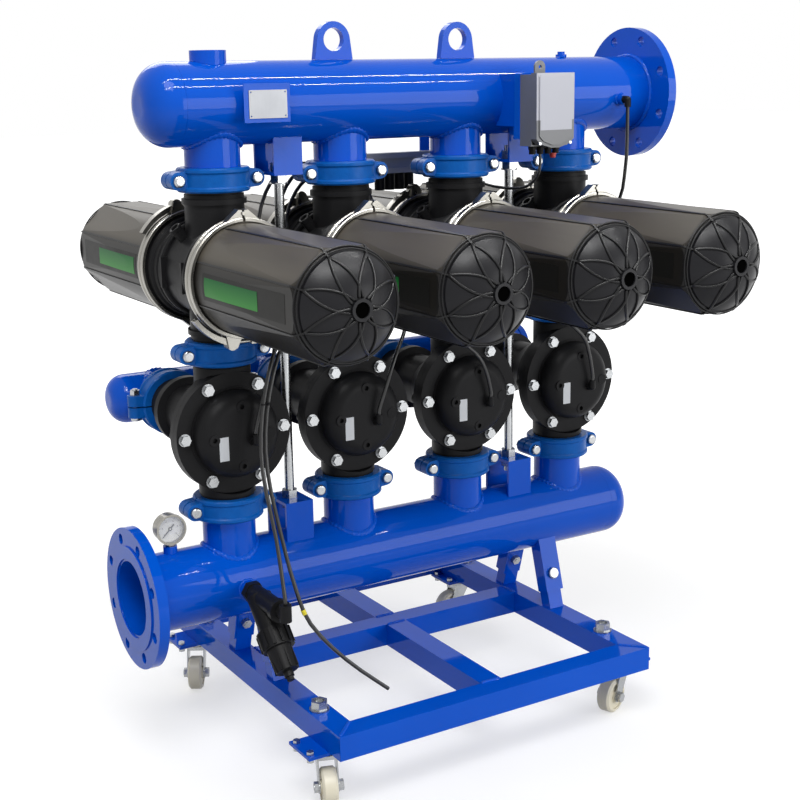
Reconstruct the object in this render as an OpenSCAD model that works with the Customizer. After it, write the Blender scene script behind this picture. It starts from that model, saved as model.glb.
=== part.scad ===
// Self-cleaning disc filter station: four double-ended filter columns stand between a lower inlet
// manifold and an upper outlet manifold, with a drain manifold behind, on a wheeled frame.
// Millimetres. X runs along the manifolds, the front faces -Y, Z is up and the floor is Z = 0.

/* [Layout] */
// Distance between neighbouring filter columns
module_pitch = 280; // [272:1:310]
// Inlet flange face to the first column
inlet_lead = 218; // [210:1:260]
// Last column to the outlet flange face
outlet_lead = 212; // [205:1:260]
// Height of the inlet manifold's axis above the floor
inlet_axis_z = 366; // [360:1:380]
// Inlet axis to the lower coupling
lower_joint_rise = 159; // [155:1:165]
// Lower coupling to the valve axis
valve_rise = 159; // [156:1:164]
// Valve axis to the middle coupling
middle_joint_rise = 159; // [156:1:164]
// Middle coupling to the filter axis
filter_rise = 157; // [152:1:165]
// Filter axis to the outlet manifold's axis
manifold_gap = 320; // [312:1:340]
// Outlet axis down to the upper coupling
upper_joint_drop = 141; // [138:1:145]

/* [Manifolds] */
// Outer diameter of the inlet and outlet manifolds
manifold_od = 159; // [157:0.5:161]
// Wall of the manifolds
manifold_wall = 4.5; // [3:0.5:6]
// Outer diameter of the stubs and the drain manifold
stub_od = 108; // [106:0.5:109]
// Wall of the stubs and the drain manifold
stub_wall = 4; // [3:0.5:5]
// Distance from the columns back to the drain manifold
drain_y = 365; // [360:1:390]
// Flange outer diameter
flange_od = 285; // [280:1:290]
// Flange bolt circle
flange_pcd = 240; // [238:1:242]
// Flange bolt hole diameter
flange_hole_d = 22; // [20:0.5:24]
// Flange thickness
flange_t = 24; // [18:1:28]
// Last column to the inlet manifold's closed end
inlet_tail = 165; // [150:1:180]
// Length of the inlet manifold's end cap
inlet_cap = 60; // [52:1:70]
// First column to the outlet manifold's closed end
outlet_tail = 145; // [140:1:160]
// Length of the outlet manifold's end cap
outlet_cap = 66; // [62:1:72]
// First column to the drain manifold's closed end
drain_head = 112; // [108:1:130]
// Last column to the drain manifold's open end
drain_tail = 150; // [140:1:180]
// Length of the drain manifold's end cap
drain_cap = 48; // [44:1:52]
// Tube fitting on the outlet manifold, from the first column
fitting_x = 944; // [935:1:950]
// Spread of the two lifting lugs
lug_spread = 294; // [280:2:310]
// Lifting eye diameter
lug_eye_d = 45; // [30:1:48]
// Lifting lug plate thickness
lug_t = 16; // [10:1:20]

/* [Frame] */
// Square tube size
tube = 50; // [45:1:55]
// Frame length along the manifolds
frame_len = 758; // [740:2:800]
// Frame depth front to back
frame_depth = 796; // [780:2:840]
// Frame centre from the middle of the station
frame_shift = -10; // [-14:1:0]
// Middle cross tube behind the columns' plane
mid_rail_y = 48; // [40:1:56]
// Lean of the manifold legs from vertical, degrees
leg_lean = 16; // [14:0.5:18]

/* [Casters] */
// Wheel diameter
wheel_d = 75; // [70:1:78]
// Wheel width
wheel_w = 30; // [26:1:32]
// Offset of the axle from the swivel axis
caster_trail = 26; // [20:1:30]
// Floor to the underside of the caster pads
caster_h = 110; // [108:1:114]

/* [Couplings] */
// Height of the coupling along the pipe
coupling_h = 46; // [42:1:50]
// Outer diameter over the rims
coupling_od = 142; // [138:1:146]
// Distance from the pipe axis to each bolt
coupling_bolt_x = 81; // [80:0.5:84]
// Opening between the two half shells
coupling_split = 3; // [2:0.5:4]

/* [Valves] */
// Bonnet flange diameter
bonnet_flange_d = 246; // [240:1:250]
// Bonnet bolt circle
bonnet_pcd = 214; // [210:1:216]
// Bonnet dome diameter
bonnet_dome_d = 178; // [170:1:182]
// How far the dome stands in front of the flange
bonnet_dome_h = 40; // [34:1:46]
// Front face of the bonnet flange, in front of the column axis
bonnet_face_y = 47; // [44:1:50]

/* [Filters] */
// Outer diameter of the covers
cover_od = 214; // [210:1:216]
// Cover wall
cover_wall = 6; // [4:0.5:8]
// Column axis to the hub at the end of a cover
cover_reach = 570; // [550:2:600]
// Length of the domed end
cover_dome_l = 62; // [58:1:70]
// Width of the ribs on the domed end
rib_w = 2.8; // [2:0.2:4]
// Height of the ribs on the domed end
rib_h = 2.2; // [1.5:0.1:3]
// Joint face of the filter body, from the column axis
filter_half = 120; // [116:1:124]
// Clamp outer diameter
clamp_od = 229; // [226:1:232]
// Clamp width
clamp_w = 26; // [24:1:30]

/* [Instruments] */
// Gauge diameter
gauge_d = 63; // [55:1:70]
// Gauge position from the first column
gauge_x = -130; // [-135:1:-120]
// Controller width
ctrl_w = 94; // [88:1:100]
// Controller height
ctrl_h = 150; // [140:1:160]
// Control tube diameter
hose_d = 8; // [6:0.5:9]

/* [Clearances] */
// Gap between faces that touch
gap = 0.3; // [0.2:0.05:0.5]

/* [Hidden] */
$fn = 64;

BLUE = [0.0, 0.22, 0.62];
BLACK = [0.10, 0.09, 0.09];
ZINC = [0.72, 0.73, 0.74];
STEEL = [0.80, 0.80, 0.80];
RUBBER = [0.05, 0.05, 0.05];
CREAM = [0.90, 0.86, 0.72];
GREY = [0.70, 0.71, 0.72];
WHITE = [0.92, 0.92, 0.92];

total_len = inlet_lead + 3 * module_pitch + outlet_lead;
function col(i) = -total_len / 2 + inlet_lead + i * module_pitch;
x1 = col(0);
z_in = inlet_axis_z;
z_low = z_in + lower_joint_rise;
z_valve = z_low + valve_rise;
z_mid = z_valve + middle_joint_rise;
z_filter = z_mid + filter_rise;
z_out = z_filter + manifold_gap;
z_up = z_out - upper_joint_drop;
man_r = manifold_od / 2;
stub_r = stub_od / 2;
drain_joint_y = drain_y - 85;
frame_z = caster_h + 6 + gap;
frame_top = frame_z + tube;
rail_x = frame_len / 2 - tube / 2;
pad_x = rail_x + 10;
pad_y = frame_depth / 2 - 86;
pad_l = 116;
pad_w = 84;
rod_x = [x1 + 0.5 * module_pitch, x1 + 2.5 * module_pitch];
bonnet_front = -bonnet_face_y - bonnet_dome_h;
cover_r = cover_od / 2;
rim_r = cover_r + 3;
barrel_r = cover_r - 2;
dome_r = barrel_r - 14;
dome_foot = cover_dome_l - 16;
dome_c = (dome_r * dome_r - 900 + dome_foot * dome_foot - 64) / (2 * (dome_foot - 8));
dome_ball = sqrt(900 + (dome_c - 8) * (dome_c - 8));
clamp_r = clamp_od / 2;
lever_pivot = [-(clamp_r + 12.5) * sin(14.5), -(clamp_r + 12.5) * cos(14.5)];
lever_tip = 34;
ctrl_x = x1 + 685;
ctrl_z = z_out - 28;
ctrl_y = -125;
rail_p = [x1 + 500, 150, z_filter + clamp_r + 65.5];
stack_r = cover_r - 29;
stack_l = cover_reach - filter_half - 160;
side_y = -246;
jack_y = frame_depth / 2 - 126;

// Z axis turned to +X and to +Y
module along_x() {
    rotate([0, 90, 0]) children();
}

module along_y() {
    rotate([-90, 0, 0]) children();
}

module hex(af, h) {
    cylinder(r = af / sqrt(3), h = h, $fn = 6);
}

module at_columns() {
    for (i = [0:3]) translate([col(i), 0, 0]) children();
}

// Outer form of a pipe along +Z with a rounded closed end at z = l
module round_end(r, l, k) {
    rotate_extrude() union() {
        square([r, l - k]);
        square([r - k, l]);
        intersection() {
            translate([r - k, l - k]) circle(k);
            square([r, l]);
        }
    }
}

// Frame: mitred perimeter, middle cross tube, centre tubes, caster pads and leg stubs
module base_frame() {
    l = frame_len;
    d = frame_depth;
    color(BLUE) translate([frame_shift, 0, frame_z]) {
        for (s = [-1, 1]) mirror([0, s > 0 ? 1 : 0, 0]) translate([0, -d / 2, 0])
            linear_extrude(tube) polygon([[-l / 2 + gap, 0], [l / 2 - gap, 0],
                [l / 2 - tube - gap, tube], [-l / 2 + tube + gap, tube]]);
        for (s = [0, 1]) mirror([s, 0, 0]) translate([-l / 2, 0, 0])
            linear_extrude(tube) polygon([[0, -d / 2 + gap], [tube, -d / 2 + tube + gap],
                [tube, d / 2 - tube - gap], [0, d / 2 - gap]]);
        translate([-l / 2 + tube + gap, mid_rail_y - tube / 2, 0])
            cube([l - 2 * tube - 2 * gap, tube, tube]);
        translate([-tube / 2, -d / 2 + tube + gap, 0])
            cube([tube, d / 2 - tube + mid_rail_y - tube / 2 - 2 * gap, tube]);
        translate([-tube / 2, mid_rail_y + tube / 2 + gap, 0])
            cube([tube, d / 2 - tube - mid_rail_y - tube / 2 - 2 * gap, tube]);
        for (sx = [-1, 1], sy = [-1, 1]) translate([sx * pad_x, sy * pad_y, -6 - gap]) caster_pad();
        for (sx = [-1, 1], s = [0, 1]) translate([sx * rail_x, 0, tube]) mirror([0, s, 0]) leg_stub();
    }
}

module caster_pad() {
    difference() {
        translate([-pad_l / 2, -pad_w / 2, 0]) cube([pad_l, pad_w, 6]);
        for (sx = [-1, 1], sy = [-1, 1]) translate([sx * 48, sy * 28, -1]) cylinder(d = 9, h = 8);
    }
}

module leg_stub() {
    difference() {
        translate([0, -113, 0]) rotate([-leg_lean, 0, 0]) difference() {
            translate([-18.5, 4 + gap, -30]) cube([37, 30, 150]);
            translate([0, -1, 82]) along_y() cylinder(d = 12.8, h = 60);
        }
        translate([-60, -250, -100 + gap]) cube([120, 250, 100]);
    }
}

// Leg bolts, caster bolts and the jacking nuts with their studs
module frame_bolts() {
    color(ZINC) {
        for (sx = [-1, 1], s = [0, 1]) translate([frame_shift + sx * rail_x, 0, frame_top])
            mirror([0, s, 0]) translate([0, -113, 0]) rotate([-leg_lean, 0, 0]) translate([0, 0, 82]) {
                along_y() cylinder(d = 12, h = 46);
                translate([0, -gap, 0]) rotate([90, 0, 0]) round_end(13, 8, 3);
                translate([0, -gap - 8, 0]) along_y() cylinder(d = 14, h = 8.5);
                translate([0, 34 + 2 * gap, 0]) along_y() hex(19, 10);
            }
        for (sx = [-1, 1], sy = [-1, 1], bx = [-1, 1], by = [-1, 1])
            translate([frame_shift + sx * pad_x + bx * 48, sy * pad_y + by * 28, caster_h]) {
                translate([0, 0, -9 - gap]) cylinder(d = 8, h = 22);
                translate([0, 0, -9 - gap]) hex(13, 5.5);
                translate([0, 0, 6 + gap]) hex(13, 6.5);
            }
        for (sx = [-1, 1], sy = [-1, 1])
            translate([frame_shift + sx * rail_x, sy * jack_y, frame_top + gap]) {
                cylinder(d = 40, h = 3);
                translate([0, 0, 3]) difference() {
                    hex(30, 16);
                    translate([0, 0, 10]) cylinder(d = 20, h = 10);
                }
            }
    }
}

// Caster top plates with the fixed race
module caster_plates() {
    color(ZINC) for (sx = [-1, 1], sy = [-1, 1])
        translate([frame_shift + sx * pad_x, sy * pad_y, caster_h]) difference() {
            union() {
                translate([-55, -36, -3 - gap]) cube([110, 72, 3]);
                translate([0, 0, -11]) cylinder(r = 24, h = 10);
            }
            for (bx = [-1, 1], by = [-1, 1]) translate([bx * 48, by * 28, -10]) cylinder(d = 9, h = 12);
            translate([0, 0, -20]) cylinder(d = 13, h = 18);
        }
}

// Fork and axle of one caster, trail pointing along +X before it is turned
module caster_fork(sx, sy, a) {
    leg_i = wheel_w / 2 + 2;
    color(ZINC) translate([frame_shift + sx * pad_x, sy * pad_y, 0]) rotate([0, 0, a]) {
        difference() {
            union() {
                translate([0, 0, caster_h - 18]) cylinder(r = 26, h = 6.5);
                translate([0, 0, caster_h - 18]) cylinder(d = 12, h = 15);
                translate([-18, -leg_i - 3, caster_h - 23]) cube([36, 2 * leg_i + 6, 5.5]);
                for (s = [-1, 1]) translate([0, s > 0 ? leg_i + 3 : -leg_i, 0]) rotate([90, 0, 0])
                    linear_extrude(3) union() {
                        polygon([[-18, caster_h - 18], [18, caster_h - 18], [caster_trail + 13, wheel_d / 2],
                            [caster_trail - 13, wheel_d / 2]]);
                        translate([caster_trail, wheel_d / 2]) circle(13);
                    }
            }
            translate([caster_trail, -50, wheel_d / 2]) along_y() cylinder(d = 12 + 2 * gap, h = 100);
        }
        translate([caster_trail, 0, wheel_d / 2]) {
            translate([0, -leg_i - 12, 0]) along_y() cylinder(d = 12, h = 2 * leg_i + 20);
            translate([0, -leg_i - 3 - gap - 8, 0]) along_y() hex(19, 8);
            translate([0, leg_i + 3 + gap, 0]) along_y() hex(19, 9);
        }
    }
}

module caster_wheel(sx, sy, a) {
    r = wheel_d / 2;
    w = wheel_w;
    color(CREAM) translate([frame_shift + sx * pad_x, sy * pad_y, 0]) rotate([0, 0, a])
        translate([caster_trail, 0, r]) along_y() rotate_extrude() difference() {
            polygon([[6.6, -w / 2 - 1.5], [14, -w / 2 - 1.5], [14, -w / 2 + 3], [r - 9, -w / 2 + 3],
                [r - 9, -w / 2], [r - 4, -w / 2], [r, -w / 2 + 4], [r, w / 2 - 4], [r - 4, w / 2],
                [r - 9, w / 2], [r - 9, w / 2 - 3], [14, w / 2 - 3], [14, w / 2 + 1.5], [6.6, w / 2 + 1.5]]);
        }
}

// Manifold pipes along +Z: an open tube of length l, then a welded end cap, with a weld gap between them
module capped_pipe(r, wall, l, cap, k) {
    difference() {
        cylinder(r = r, h = l);
        translate([0, 0, -1]) cylinder(r = r - wall, h = l + 2);
    }
    translate([0, 0, l + gap]) difference() {
        round_end(r, cap - gap, k);
        translate([0, 0, -1]) round_end(r - wall, cap - gap - wall + 1, k - wall);
    }
}

module inlet_pipe() {
    x0 = -total_len / 2 + 3;
    l = inlet_lead + 3 * module_pitch + inlet_tail - 3 - inlet_cap;
    color(BLUE) difference() {
        translate([x0, 0, z_in]) along_x() capped_pipe(man_r, manifold_wall, l, inlet_cap, 45);
        at_columns() translate([0, 0, z_in]) cylinder(r = stub_r - stub_wall, h = 120);
        translate([x1, 0, z_in]) rotate([90, 0, 0]) cylinder(d = 16, h = 120);
        translate([x1 + gauge_x, 0, z_in]) cylinder(d = 9, h = 120);
    }
}

module outlet_pipe() {
    x0 = total_len / 2 - 3;
    l = outlet_lead + 3 * module_pitch + outlet_tail - 3 - outlet_cap;
    color(BLUE) difference() {
        translate([x0, 0, z_out]) rotate([0, -90, 0]) capped_pipe(man_r, manifold_wall, l, outlet_cap, 58);
        at_columns() translate([0, 0, z_out - 120]) cylinder(r = stub_r - stub_wall, h = 120);
        translate([x1 + fitting_x, 0, z_out - 13]) rotate([90, 0, 0]) cylinder(d = 12, h = 120);
    }
}

module drain_pipe() {
    x0 = x1 + 3 * module_pitch + drain_tail;
    l = 3 * module_pitch + drain_tail + drain_head - drain_cap;
    color(BLUE) difference() {
        translate([x0, drain_y, z_valve]) rotate([0, -90, 0])
            capped_pipe(stub_r, stub_wall, l, drain_cap, 40);
        at_columns() translate([0, drain_y, z_valve]) rotate([90, 0, 0]) cylinder(r = 46, h = 120);
        translate([x0 - 25, drain_y, z_valve]) along_x() difference() {
            cylinder(r = stub_r + 1, h = 9);
            translate([0, 0, -1]) cylinder(r = stub_r - 2, h = 12);
        }
    }
}

module pipe_flanges() {
    color(BLUE) for (s = [0, 1]) mirror([s, 0, 0])
        translate([-total_len / 2, 0, s == 0 ? z_in : z_out]) along_x() difference() {
            union() {
                cylinder(d = 212, h = 10);
                translate([0, 0, 3]) cylinder(d = flange_od, h = flange_t - 3);
            }
            translate([0, 0, -1]) cylinder(r = man_r + gap, h = flange_t + 2);
            for (k = [0:7]) rotate([0, 0, 22.5 + 45 * k]) translate([flange_pcd / 2, 0, -1])
                cylinder(d = flange_hole_d, h = flange_t + 2);
        }
}

// Grooved stub along +Z from the axis of a pipe of radius rp to height h
module stub(rp, h) {
    difference() {
        cylinder(r = stub_r, h = h);
        translate([0, 0, -1]) cylinder(r = stub_r - stub_wall, h = h + 2);
        translate([-120, 0, 0]) along_x() cylinder(r = rp + gap, h = 240);
    }
}

// Threaded socket along +Z from the axis of a pipe of radius rp
module socket(od, id, rp, h) {
    difference() {
        cylinder(d = od, h = h);
        translate([0, 0, -1]) cylinder(d = id, h = h + 2);
        translate([-120, 0, 0]) along_x() cylinder(r = rp + gap, h = 240);
    }
}

module branch_stubs() {
    color(BLUE) {
        at_columns() translate([0, 0, z_in]) stub(man_r, lower_joint_rise - 2);
        at_columns() translate([0, 0, z_out]) mirror([0, 0, 1]) stub(man_r, upper_joint_drop - 2);
        at_columns() translate([0, drain_y, z_valve]) rotate([90, 0, 0])
            stub(stub_r, drain_y - drain_joint_y - 2);
        translate([x1, 0, z_out]) difference() {
            cylinder(d = 70, h = man_r + 19.5);
            translate([0, 0, man_r + 3]) cylinder(d = 57, h = 30);
            translate([-120, 0, 0]) along_x() cylinder(r = man_r + gap, h = 240);
        }
        translate([x1 + 3 * module_pitch, 0, z_out]) difference() {
            union() {
                cylinder(d = 24, h = 85);
                cylinder(d = 16, h = 91);
            }
            translate([-120, 0, 0]) along_x() cylinder(r = man_r + gap, h = 240);
        }
        translate([x1 + gauge_x, 0, z_in]) socket(28, 14.6, man_r, 94);
        translate([x1, 0, z_in]) rotate([90, 0, 0]) socket(36, 26.6, man_r, 95);
        translate([x1 + fitting_x, 0, z_out - 13]) rotate([90, 0, 0]) socket(24, 13.2, man_r + 2, 92);
    }
}

module lifting_lugs() {
    r = 37;
    mid = x1 + 1.5 * module_pitch - 5;
    color(BLUE) for (s = [-1, 1]) translate([mid + s * lug_spread / 2, lug_t / 2, z_out])
        difference() {
            rotate([90, 0, 0]) linear_extrude(lug_t) difference() {
                union() {
                    translate([0, 116]) circle(r);
                    polygon([[-42, 60], [42, 60], [42, 82], [36.6, 121], [-36.6, 121], [-42, 82]]);
                }
                translate([0, 118]) circle(d = lug_eye_d);
            }
            translate([-60, -lug_t / 2, 0]) along_x() cylinder(r = man_r + gap, h = 120);
        }
}

// Folded channels between the leg stubs and the inlet manifold
module leg_channels() {
    for (sx = [-1, 1], s = [0, 1]) difference() {
        translate([frame_shift + sx * rail_x, 0, frame_top]) mirror([0, s, 0])
            translate([0, -113, 0]) rotate([-leg_lean, 0, 0]) difference() {
                translate([-23, 0, 42]) cube([46, 34, 170]);
                translate([-19, 4, 40]) cube([38, 40, 180]);
                translate([0, -1, 82]) along_y() cylinder(d = 12.8, h = 20);
            }
        translate([frame_shift + sx * rail_x - 50, 0, z_in]) along_x() cylinder(r = man_r + gap, h = 100);
    }
}

// Leg channels, folded tie-rod brackets, the brackets of the rating plate and the controller, pilot straps
module pipe_brackets() {
    color(BLUE) {
        leg_channels();
        for (x = rod_x) {
            translate([x, 0, z_in]) rod_bracket(149);
            translate([x, 0, z_out]) mirror([0, 0, 1]) rod_bracket(139);
        }
        difference() {
            union() {
                translate([x1 + 26, -97, z_out - 35]) cube([96, 2, 72]);
                translate([x1 + 40, -95, z_out - 20]) cube([12, 40, 30]);
                translate([x1 + 98, -95, z_out - 20]) cube([12, 40, 30]);
            }
            translate([x1, 0, z_out]) along_x() cylinder(r = man_r + gap, h = 160);
        }
        difference() {
            union() {
                translate([ctrl_x - 61, ctrl_y, z_out - 86]) cube([112, 3, 133]);
                translate([ctrl_x - 58, ctrl_y, z_out - 60]) cube([4, 70, 105]);
                translate([ctrl_x + 40, ctrl_y, z_out - 60]) cube([4, 70, 105]);
            }
            translate([ctrl_x - 100, 0, z_out]) along_x() cylinder(r = man_r + gap, h = 200);
        }
        for (x = [x1 + 414, x1 + 588]) difference() {
            union() {
                translate([x - 12, rail_p[1] + 14 + gap, rail_p[2] - 18])
                    cube([24, 4, z_out - rail_p[2] + 18]);
                translate([x - 12, 50, z_out - 4]) cube([24, rail_p[1] - 32 + gap, 4]);
            }
            translate([x - 50, 0, z_out]) along_x() cylinder(r = man_r + gap, h = 100);
        }
    }
}

module rod_bracket(h) {
    difference() {
        translate([-31, -45, 20]) cube([62, 90, h - 20]);
        translate([-40, -39, 10]) cube([80, 78, h - 16]);
        translate([0, 0, h - 20]) cylinder(d = 22, h = 40);
        translate([-60, 0, 0]) along_x() cylinder(r = man_r + gap, h = 120);
    }
}

// Round tie rods with a nut on both sides of each bracket plate
module tie_rods() {
    z0 = z_in + 149;
    z1 = z_out - 139;
    color(ZINC) for (x = rod_x) translate([x, 0, 0]) {
        translate([0, 0, z0 - 34]) cylinder(d = 20, h = z1 - z0 + 68);
        for (z = [z0 - 6 - gap - 16, z0 + gap, z1 - gap - 16, z1 + 6 + gap]) translate([0, 0, z])
            hex(30, 16);
        translate([0, 0, z1 - gap - 18.5]) cylinder(d = 36, h = 2.5);
    }
}

// One half shell of a grooved coupling, on the -Y side of a vertical pipe
module coupling_half() {
    ro = coupling_od / 2;
    ri = stub_r + gap;
    h = coupling_h / 2;
    difference() {
        union() {
            rotate_extrude() polygon([[ri, -h], [ro - 3, -h], [ro, -h + 3], [ro, -h + 8], [ro - 3, -h + 11],
                [ro - 3, h - 11], [ro, h - 8], [ro, h - 3], [ro - 3, h], [ri, h], [ri, 15.5],
                [stub_r + 8, 15.5], [stub_r + 8, -15.5], [ri, -15.5]]);
            for (s = [-1, 1]) difference() {
                rotate([90, 0, 0]) linear_extrude(24) union() {
                    translate([s * coupling_bolt_x, 0]) circle(17);
                    polygon([[s * 50, -20], [s * coupling_bolt_x, -17], [s * coupling_bolt_x, 17],
                        [s * 50, 20]]);
                }
                translate([0, 0, -30]) cylinder(r = stub_r + 10, h = 60);
            }
        }
        translate([-150, -coupling_split / 2, -50]) cube([300, 150, 100]);
        for (s = [-1, 1]) translate([s * coupling_bolt_x, -40, 0]) along_y() cylinder(d = 12.8, h = 40);
    }
}

module coupling_places() {
    at_columns() {
        translate([0, 0, z_low]) children();
        translate([0, 0, z_mid]) children();
        translate([0, 0, z_up]) children();
        translate([0, drain_joint_y, z_valve]) rotate([90, 0, 0]) children();
    }
}

module coupling_shells() {
    color(BLUE) coupling_places() {
        coupling_half();
        rotate([0, 0, 180]) coupling_half();
    }
}

module coupling_bolts() {
    color(ZINC) coupling_places() for (s = [-1, 1]) translate([s * coupling_bolt_x, 0, 0]) {
        translate([0, -30, 0]) along_y() cylinder(d = 12, h = 68);
        translate([0, -24 - gap, 0]) rotate([90, 0, 0]) round_end(11.5, 8, 4);
        translate([0, 24 + gap, 0]) along_y() hex(19, 11);
    }
}

// Coupling gaskets and the cover seals
module rubber_seals() {
    color(RUBBER) {
        coupling_places() difference() {
            translate([0, 0, -15]) cylinder(r = stub_r + 7.6, h = 30);
            translate([0, 0, -16]) cylinder(r = stub_r + gap, h = 32);
        }
        at_columns() for (s = [0, 1]) mirror([0, s, 0]) translate([0, -filter_half + gap, z_filter])
            along_y() difference() {
                cylinder(r = 98, h = 4);
                translate([0, 0, -1]) cylinder(r = 90, h = 6);
            }
    }
}

// Three-way valve body: ports below, above and behind, flange in front
module valve_bodies() {
    dn = z_valve - z_low - 2;
    up = z_mid - z_valve - 2;
    rear = drain_joint_y - 2;
    color(BLACK) at_columns() translate([0, 0, z_valve]) difference() {
        union() {
            translate([0, 0, -dn]) cylinder(r = stub_r, h = dn + up);
            translate([0, 0, -dn + 26]) cylinder(r = stub_r + 3, h = dn + up - 52);
            translate([0, -bonnet_face_y + 32, 0]) rotate([-90, 0, 0]) rotate_extrude()
                polygon([[0, -16], [bonnet_flange_d / 2, -16], [bonnet_flange_d / 2, 0], [93, 2], [90, 50],
                    [62, 105], [stub_r + 3, 110], [stub_r + 3, 190], [72, 194], [72, 212], [stub_r + 3, 216],
                    [stub_r, 218], [stub_r, rear + bonnet_face_y - 32], [0, rear + bonnet_face_y - 32]]);
            for (k = [0:5]) rotate([0, 60 * k, 0]) translate([bonnet_pcd / 2, -bonnet_face_y + 31, 0])
                along_y() cylinder(d = 26, h = 13);
        }
        translate([0, 0, -dn - 1]) cylinder(r = 45, h = dn + up + 2);
        translate([0, -bonnet_face_y + 16, 0]) rotate([90, 0, 0]) cylinder(d = bonnet_flange_d + 4, h = 60);
        translate([0, -bonnet_face_y, 0]) along_y() cylinder(r = 74, h = 98);
        along_y() cylinder(r = 45, h = rear + 1);
        for (k = [0:5]) rotate([0, 60 * k, 0]) translate([bonnet_pcd / 2, -bonnet_face_y, 0]) along_y()
            cylinder(d = 12.8, h = 40);
    }
}

// Domed bonnet with four bosses, three of them drilled, and the port for the elbow
module valve_bonnets() {
    top = bonnet_dome_h + 16 - gap;
    color(BLACK) at_columns() translate([0, -bonnet_face_y + 16 - gap, z_valve]) rotate([90, 0, 0])
        difference() {
            union() {
                cylinder(d = bonnet_flange_d, h = 16 - gap);
                round_end(bonnet_dome_d / 2, top, 32);
                cylinder(d = bonnet_dome_d + 7, h = 17.6);
                for (a = [0:90:270]) rotate([0, 0, a]) translate([60, 0, 20])
                    cylinder(d = 22, h = top - 18.8);
            }
            translate([0, 0, -1]) round_end(74, bonnet_dome_h + 9, 26);
            for (k = [0:5]) rotate([0, 0, 60 * k]) translate([bonnet_pcd / 2, 0, -1])
                cylinder(d = 12.8, h = 30);
            for (a = [90, 180, 270]) rotate([0, 0, a]) translate([60, 0, top - 5])
                cylinder(d = 10, h = 20);
            translate([22, -12, 20]) cylinder(d = 10.4, h = 60);
        }
}

// Plunger with piston and seal disc, resting on the rear seat
module valve_plungers() {
    seat = -bonnet_face_y + 98;
    color(GREY) at_columns() translate([0, seat - gap, z_valve]) rotate([90, 0, 0]) {
        cylinder(r = 56, h = 10);
        cylinder(r = 9, h = 110);
        translate([0, 0, 80]) cylinder(r = 72, h = 10);
    }
}

module valve_bolts() {
    color(ZINC) at_columns() translate([0, 0, z_valve]) for (k = [0:5]) rotate([0, 60 * k, 0])
        translate([bonnet_pcd / 2, -bonnet_face_y, 0]) {
            translate([0, -6, 0]) along_y() cylinder(d = 12, h = 44);
            translate([0, -gap, 0]) rotate([90, 0, 0]) cylinder(d = 25, h = 2.5);
            translate([0, -gap - 2, 0]) rotate([90, 0, 0]) hex(19, 9);
        }
}

// Tee body between the two covers, with ports above and below
module filter_bodies() {
    dn = z_filter - z_mid - 2;
    up = z_up - z_filter - 2;
    color(BLACK) at_columns() translate([0, 0, z_filter]) difference() {
        union() {
            translate([0, 0, -dn]) cylinder(r = stub_r, h = dn + up);
            translate([0, 0, -dn + 26]) cylinder(r = stub_r + 4, h = dn + up - 52);
            translate([0, 0, up - 44]) cylinder(r = stub_r + 9, h = 10);
            translate([0, 0, -dn + 34]) cylinder(r = stub_r + 9, h = 10);
            translate([0, -filter_half, 0]) along_y() cylinder(r = 90, h = 2 * filter_half);
            for (s = [0, 1]) mirror([0, s, 0]) translate([0, -filter_half, 0]) along_y()
                cylinder(r = rim_r, h = 8);
            for (s = [-1, 1]) translate([-98, s * 50 - 4, -30]) cube([196, 8, 60]);
        }
        translate([0, 0, -dn - 1]) cylinder(r = 46, h = dn + up + 2);
        translate([0, -filter_half - 1, 0]) along_y() cylinder(r = 82, h = 2 * filter_half + 2);
        for (s = [0, 1]) mirror([0, s, 0]) translate([0, -filter_half, 0]) along_y() difference() {
            translate([0, 0, -1]) cylinder(r = 98 + gap, h = 5 + 2 * gap);
            translate([0, 0, -2]) cylinder(r = 90 - gap, h = 7 + 2 * gap);
        }
    }
}

// Curved rib of width rib_w through the petal's tip, its widest point and its foot at the hub
module rib_arc(tip, wide, foot) {
    d = 2 * (tip[0] * (wide[1] - foot[1]) + wide[0] * (foot[1] - tip[1]) + foot[0] * (tip[1] - wide[1]));
    a = tip * tip;
    b = wide * wide;
    e = foot * foot;
    c = [(a * (wide[1] - foot[1]) + b * (foot[1] - tip[1]) + e * (tip[1] - wide[1])) / d,
        (a * (foot[0] - wide[0]) + b * (tip[0] - foot[0]) + e * (wide[0] - tip[0])) / d];
    intersection() {
        difference() {
            translate(c) circle(norm(tip - c) + rib_w / 2);
            translate(c) circle(norm(tip - c) - rib_w / 2);
        }
        translate([foot[0], -1]) square([tip[0] - foot[0] + 3, 40]);
    }
}

// Eight petals of paired ribs standing on the domed end
module petal_ribs(l) {
    intersection() {
        translate([0, 0, l - cover_dome_l]) linear_extrude(cover_dome_l) for (k = [0:7], s = [0, 1])
            rotate(22.5 + 45 * k) mirror([0, s]) rib_arc([dome_r + 1, 0], [52, 15], [17, 11]);
        difference() {
            translate([0, 0, l - dome_c]) sphere(r = dome_ball + rib_h);
            translate([0, 0, l - dome_c]) sphere(r = dome_ball - 1.5);
        }
        translate([0, 0, l - cover_dome_l]) cylinder(r = dome_r + 1, h = cover_dome_l);
    }
}

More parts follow.
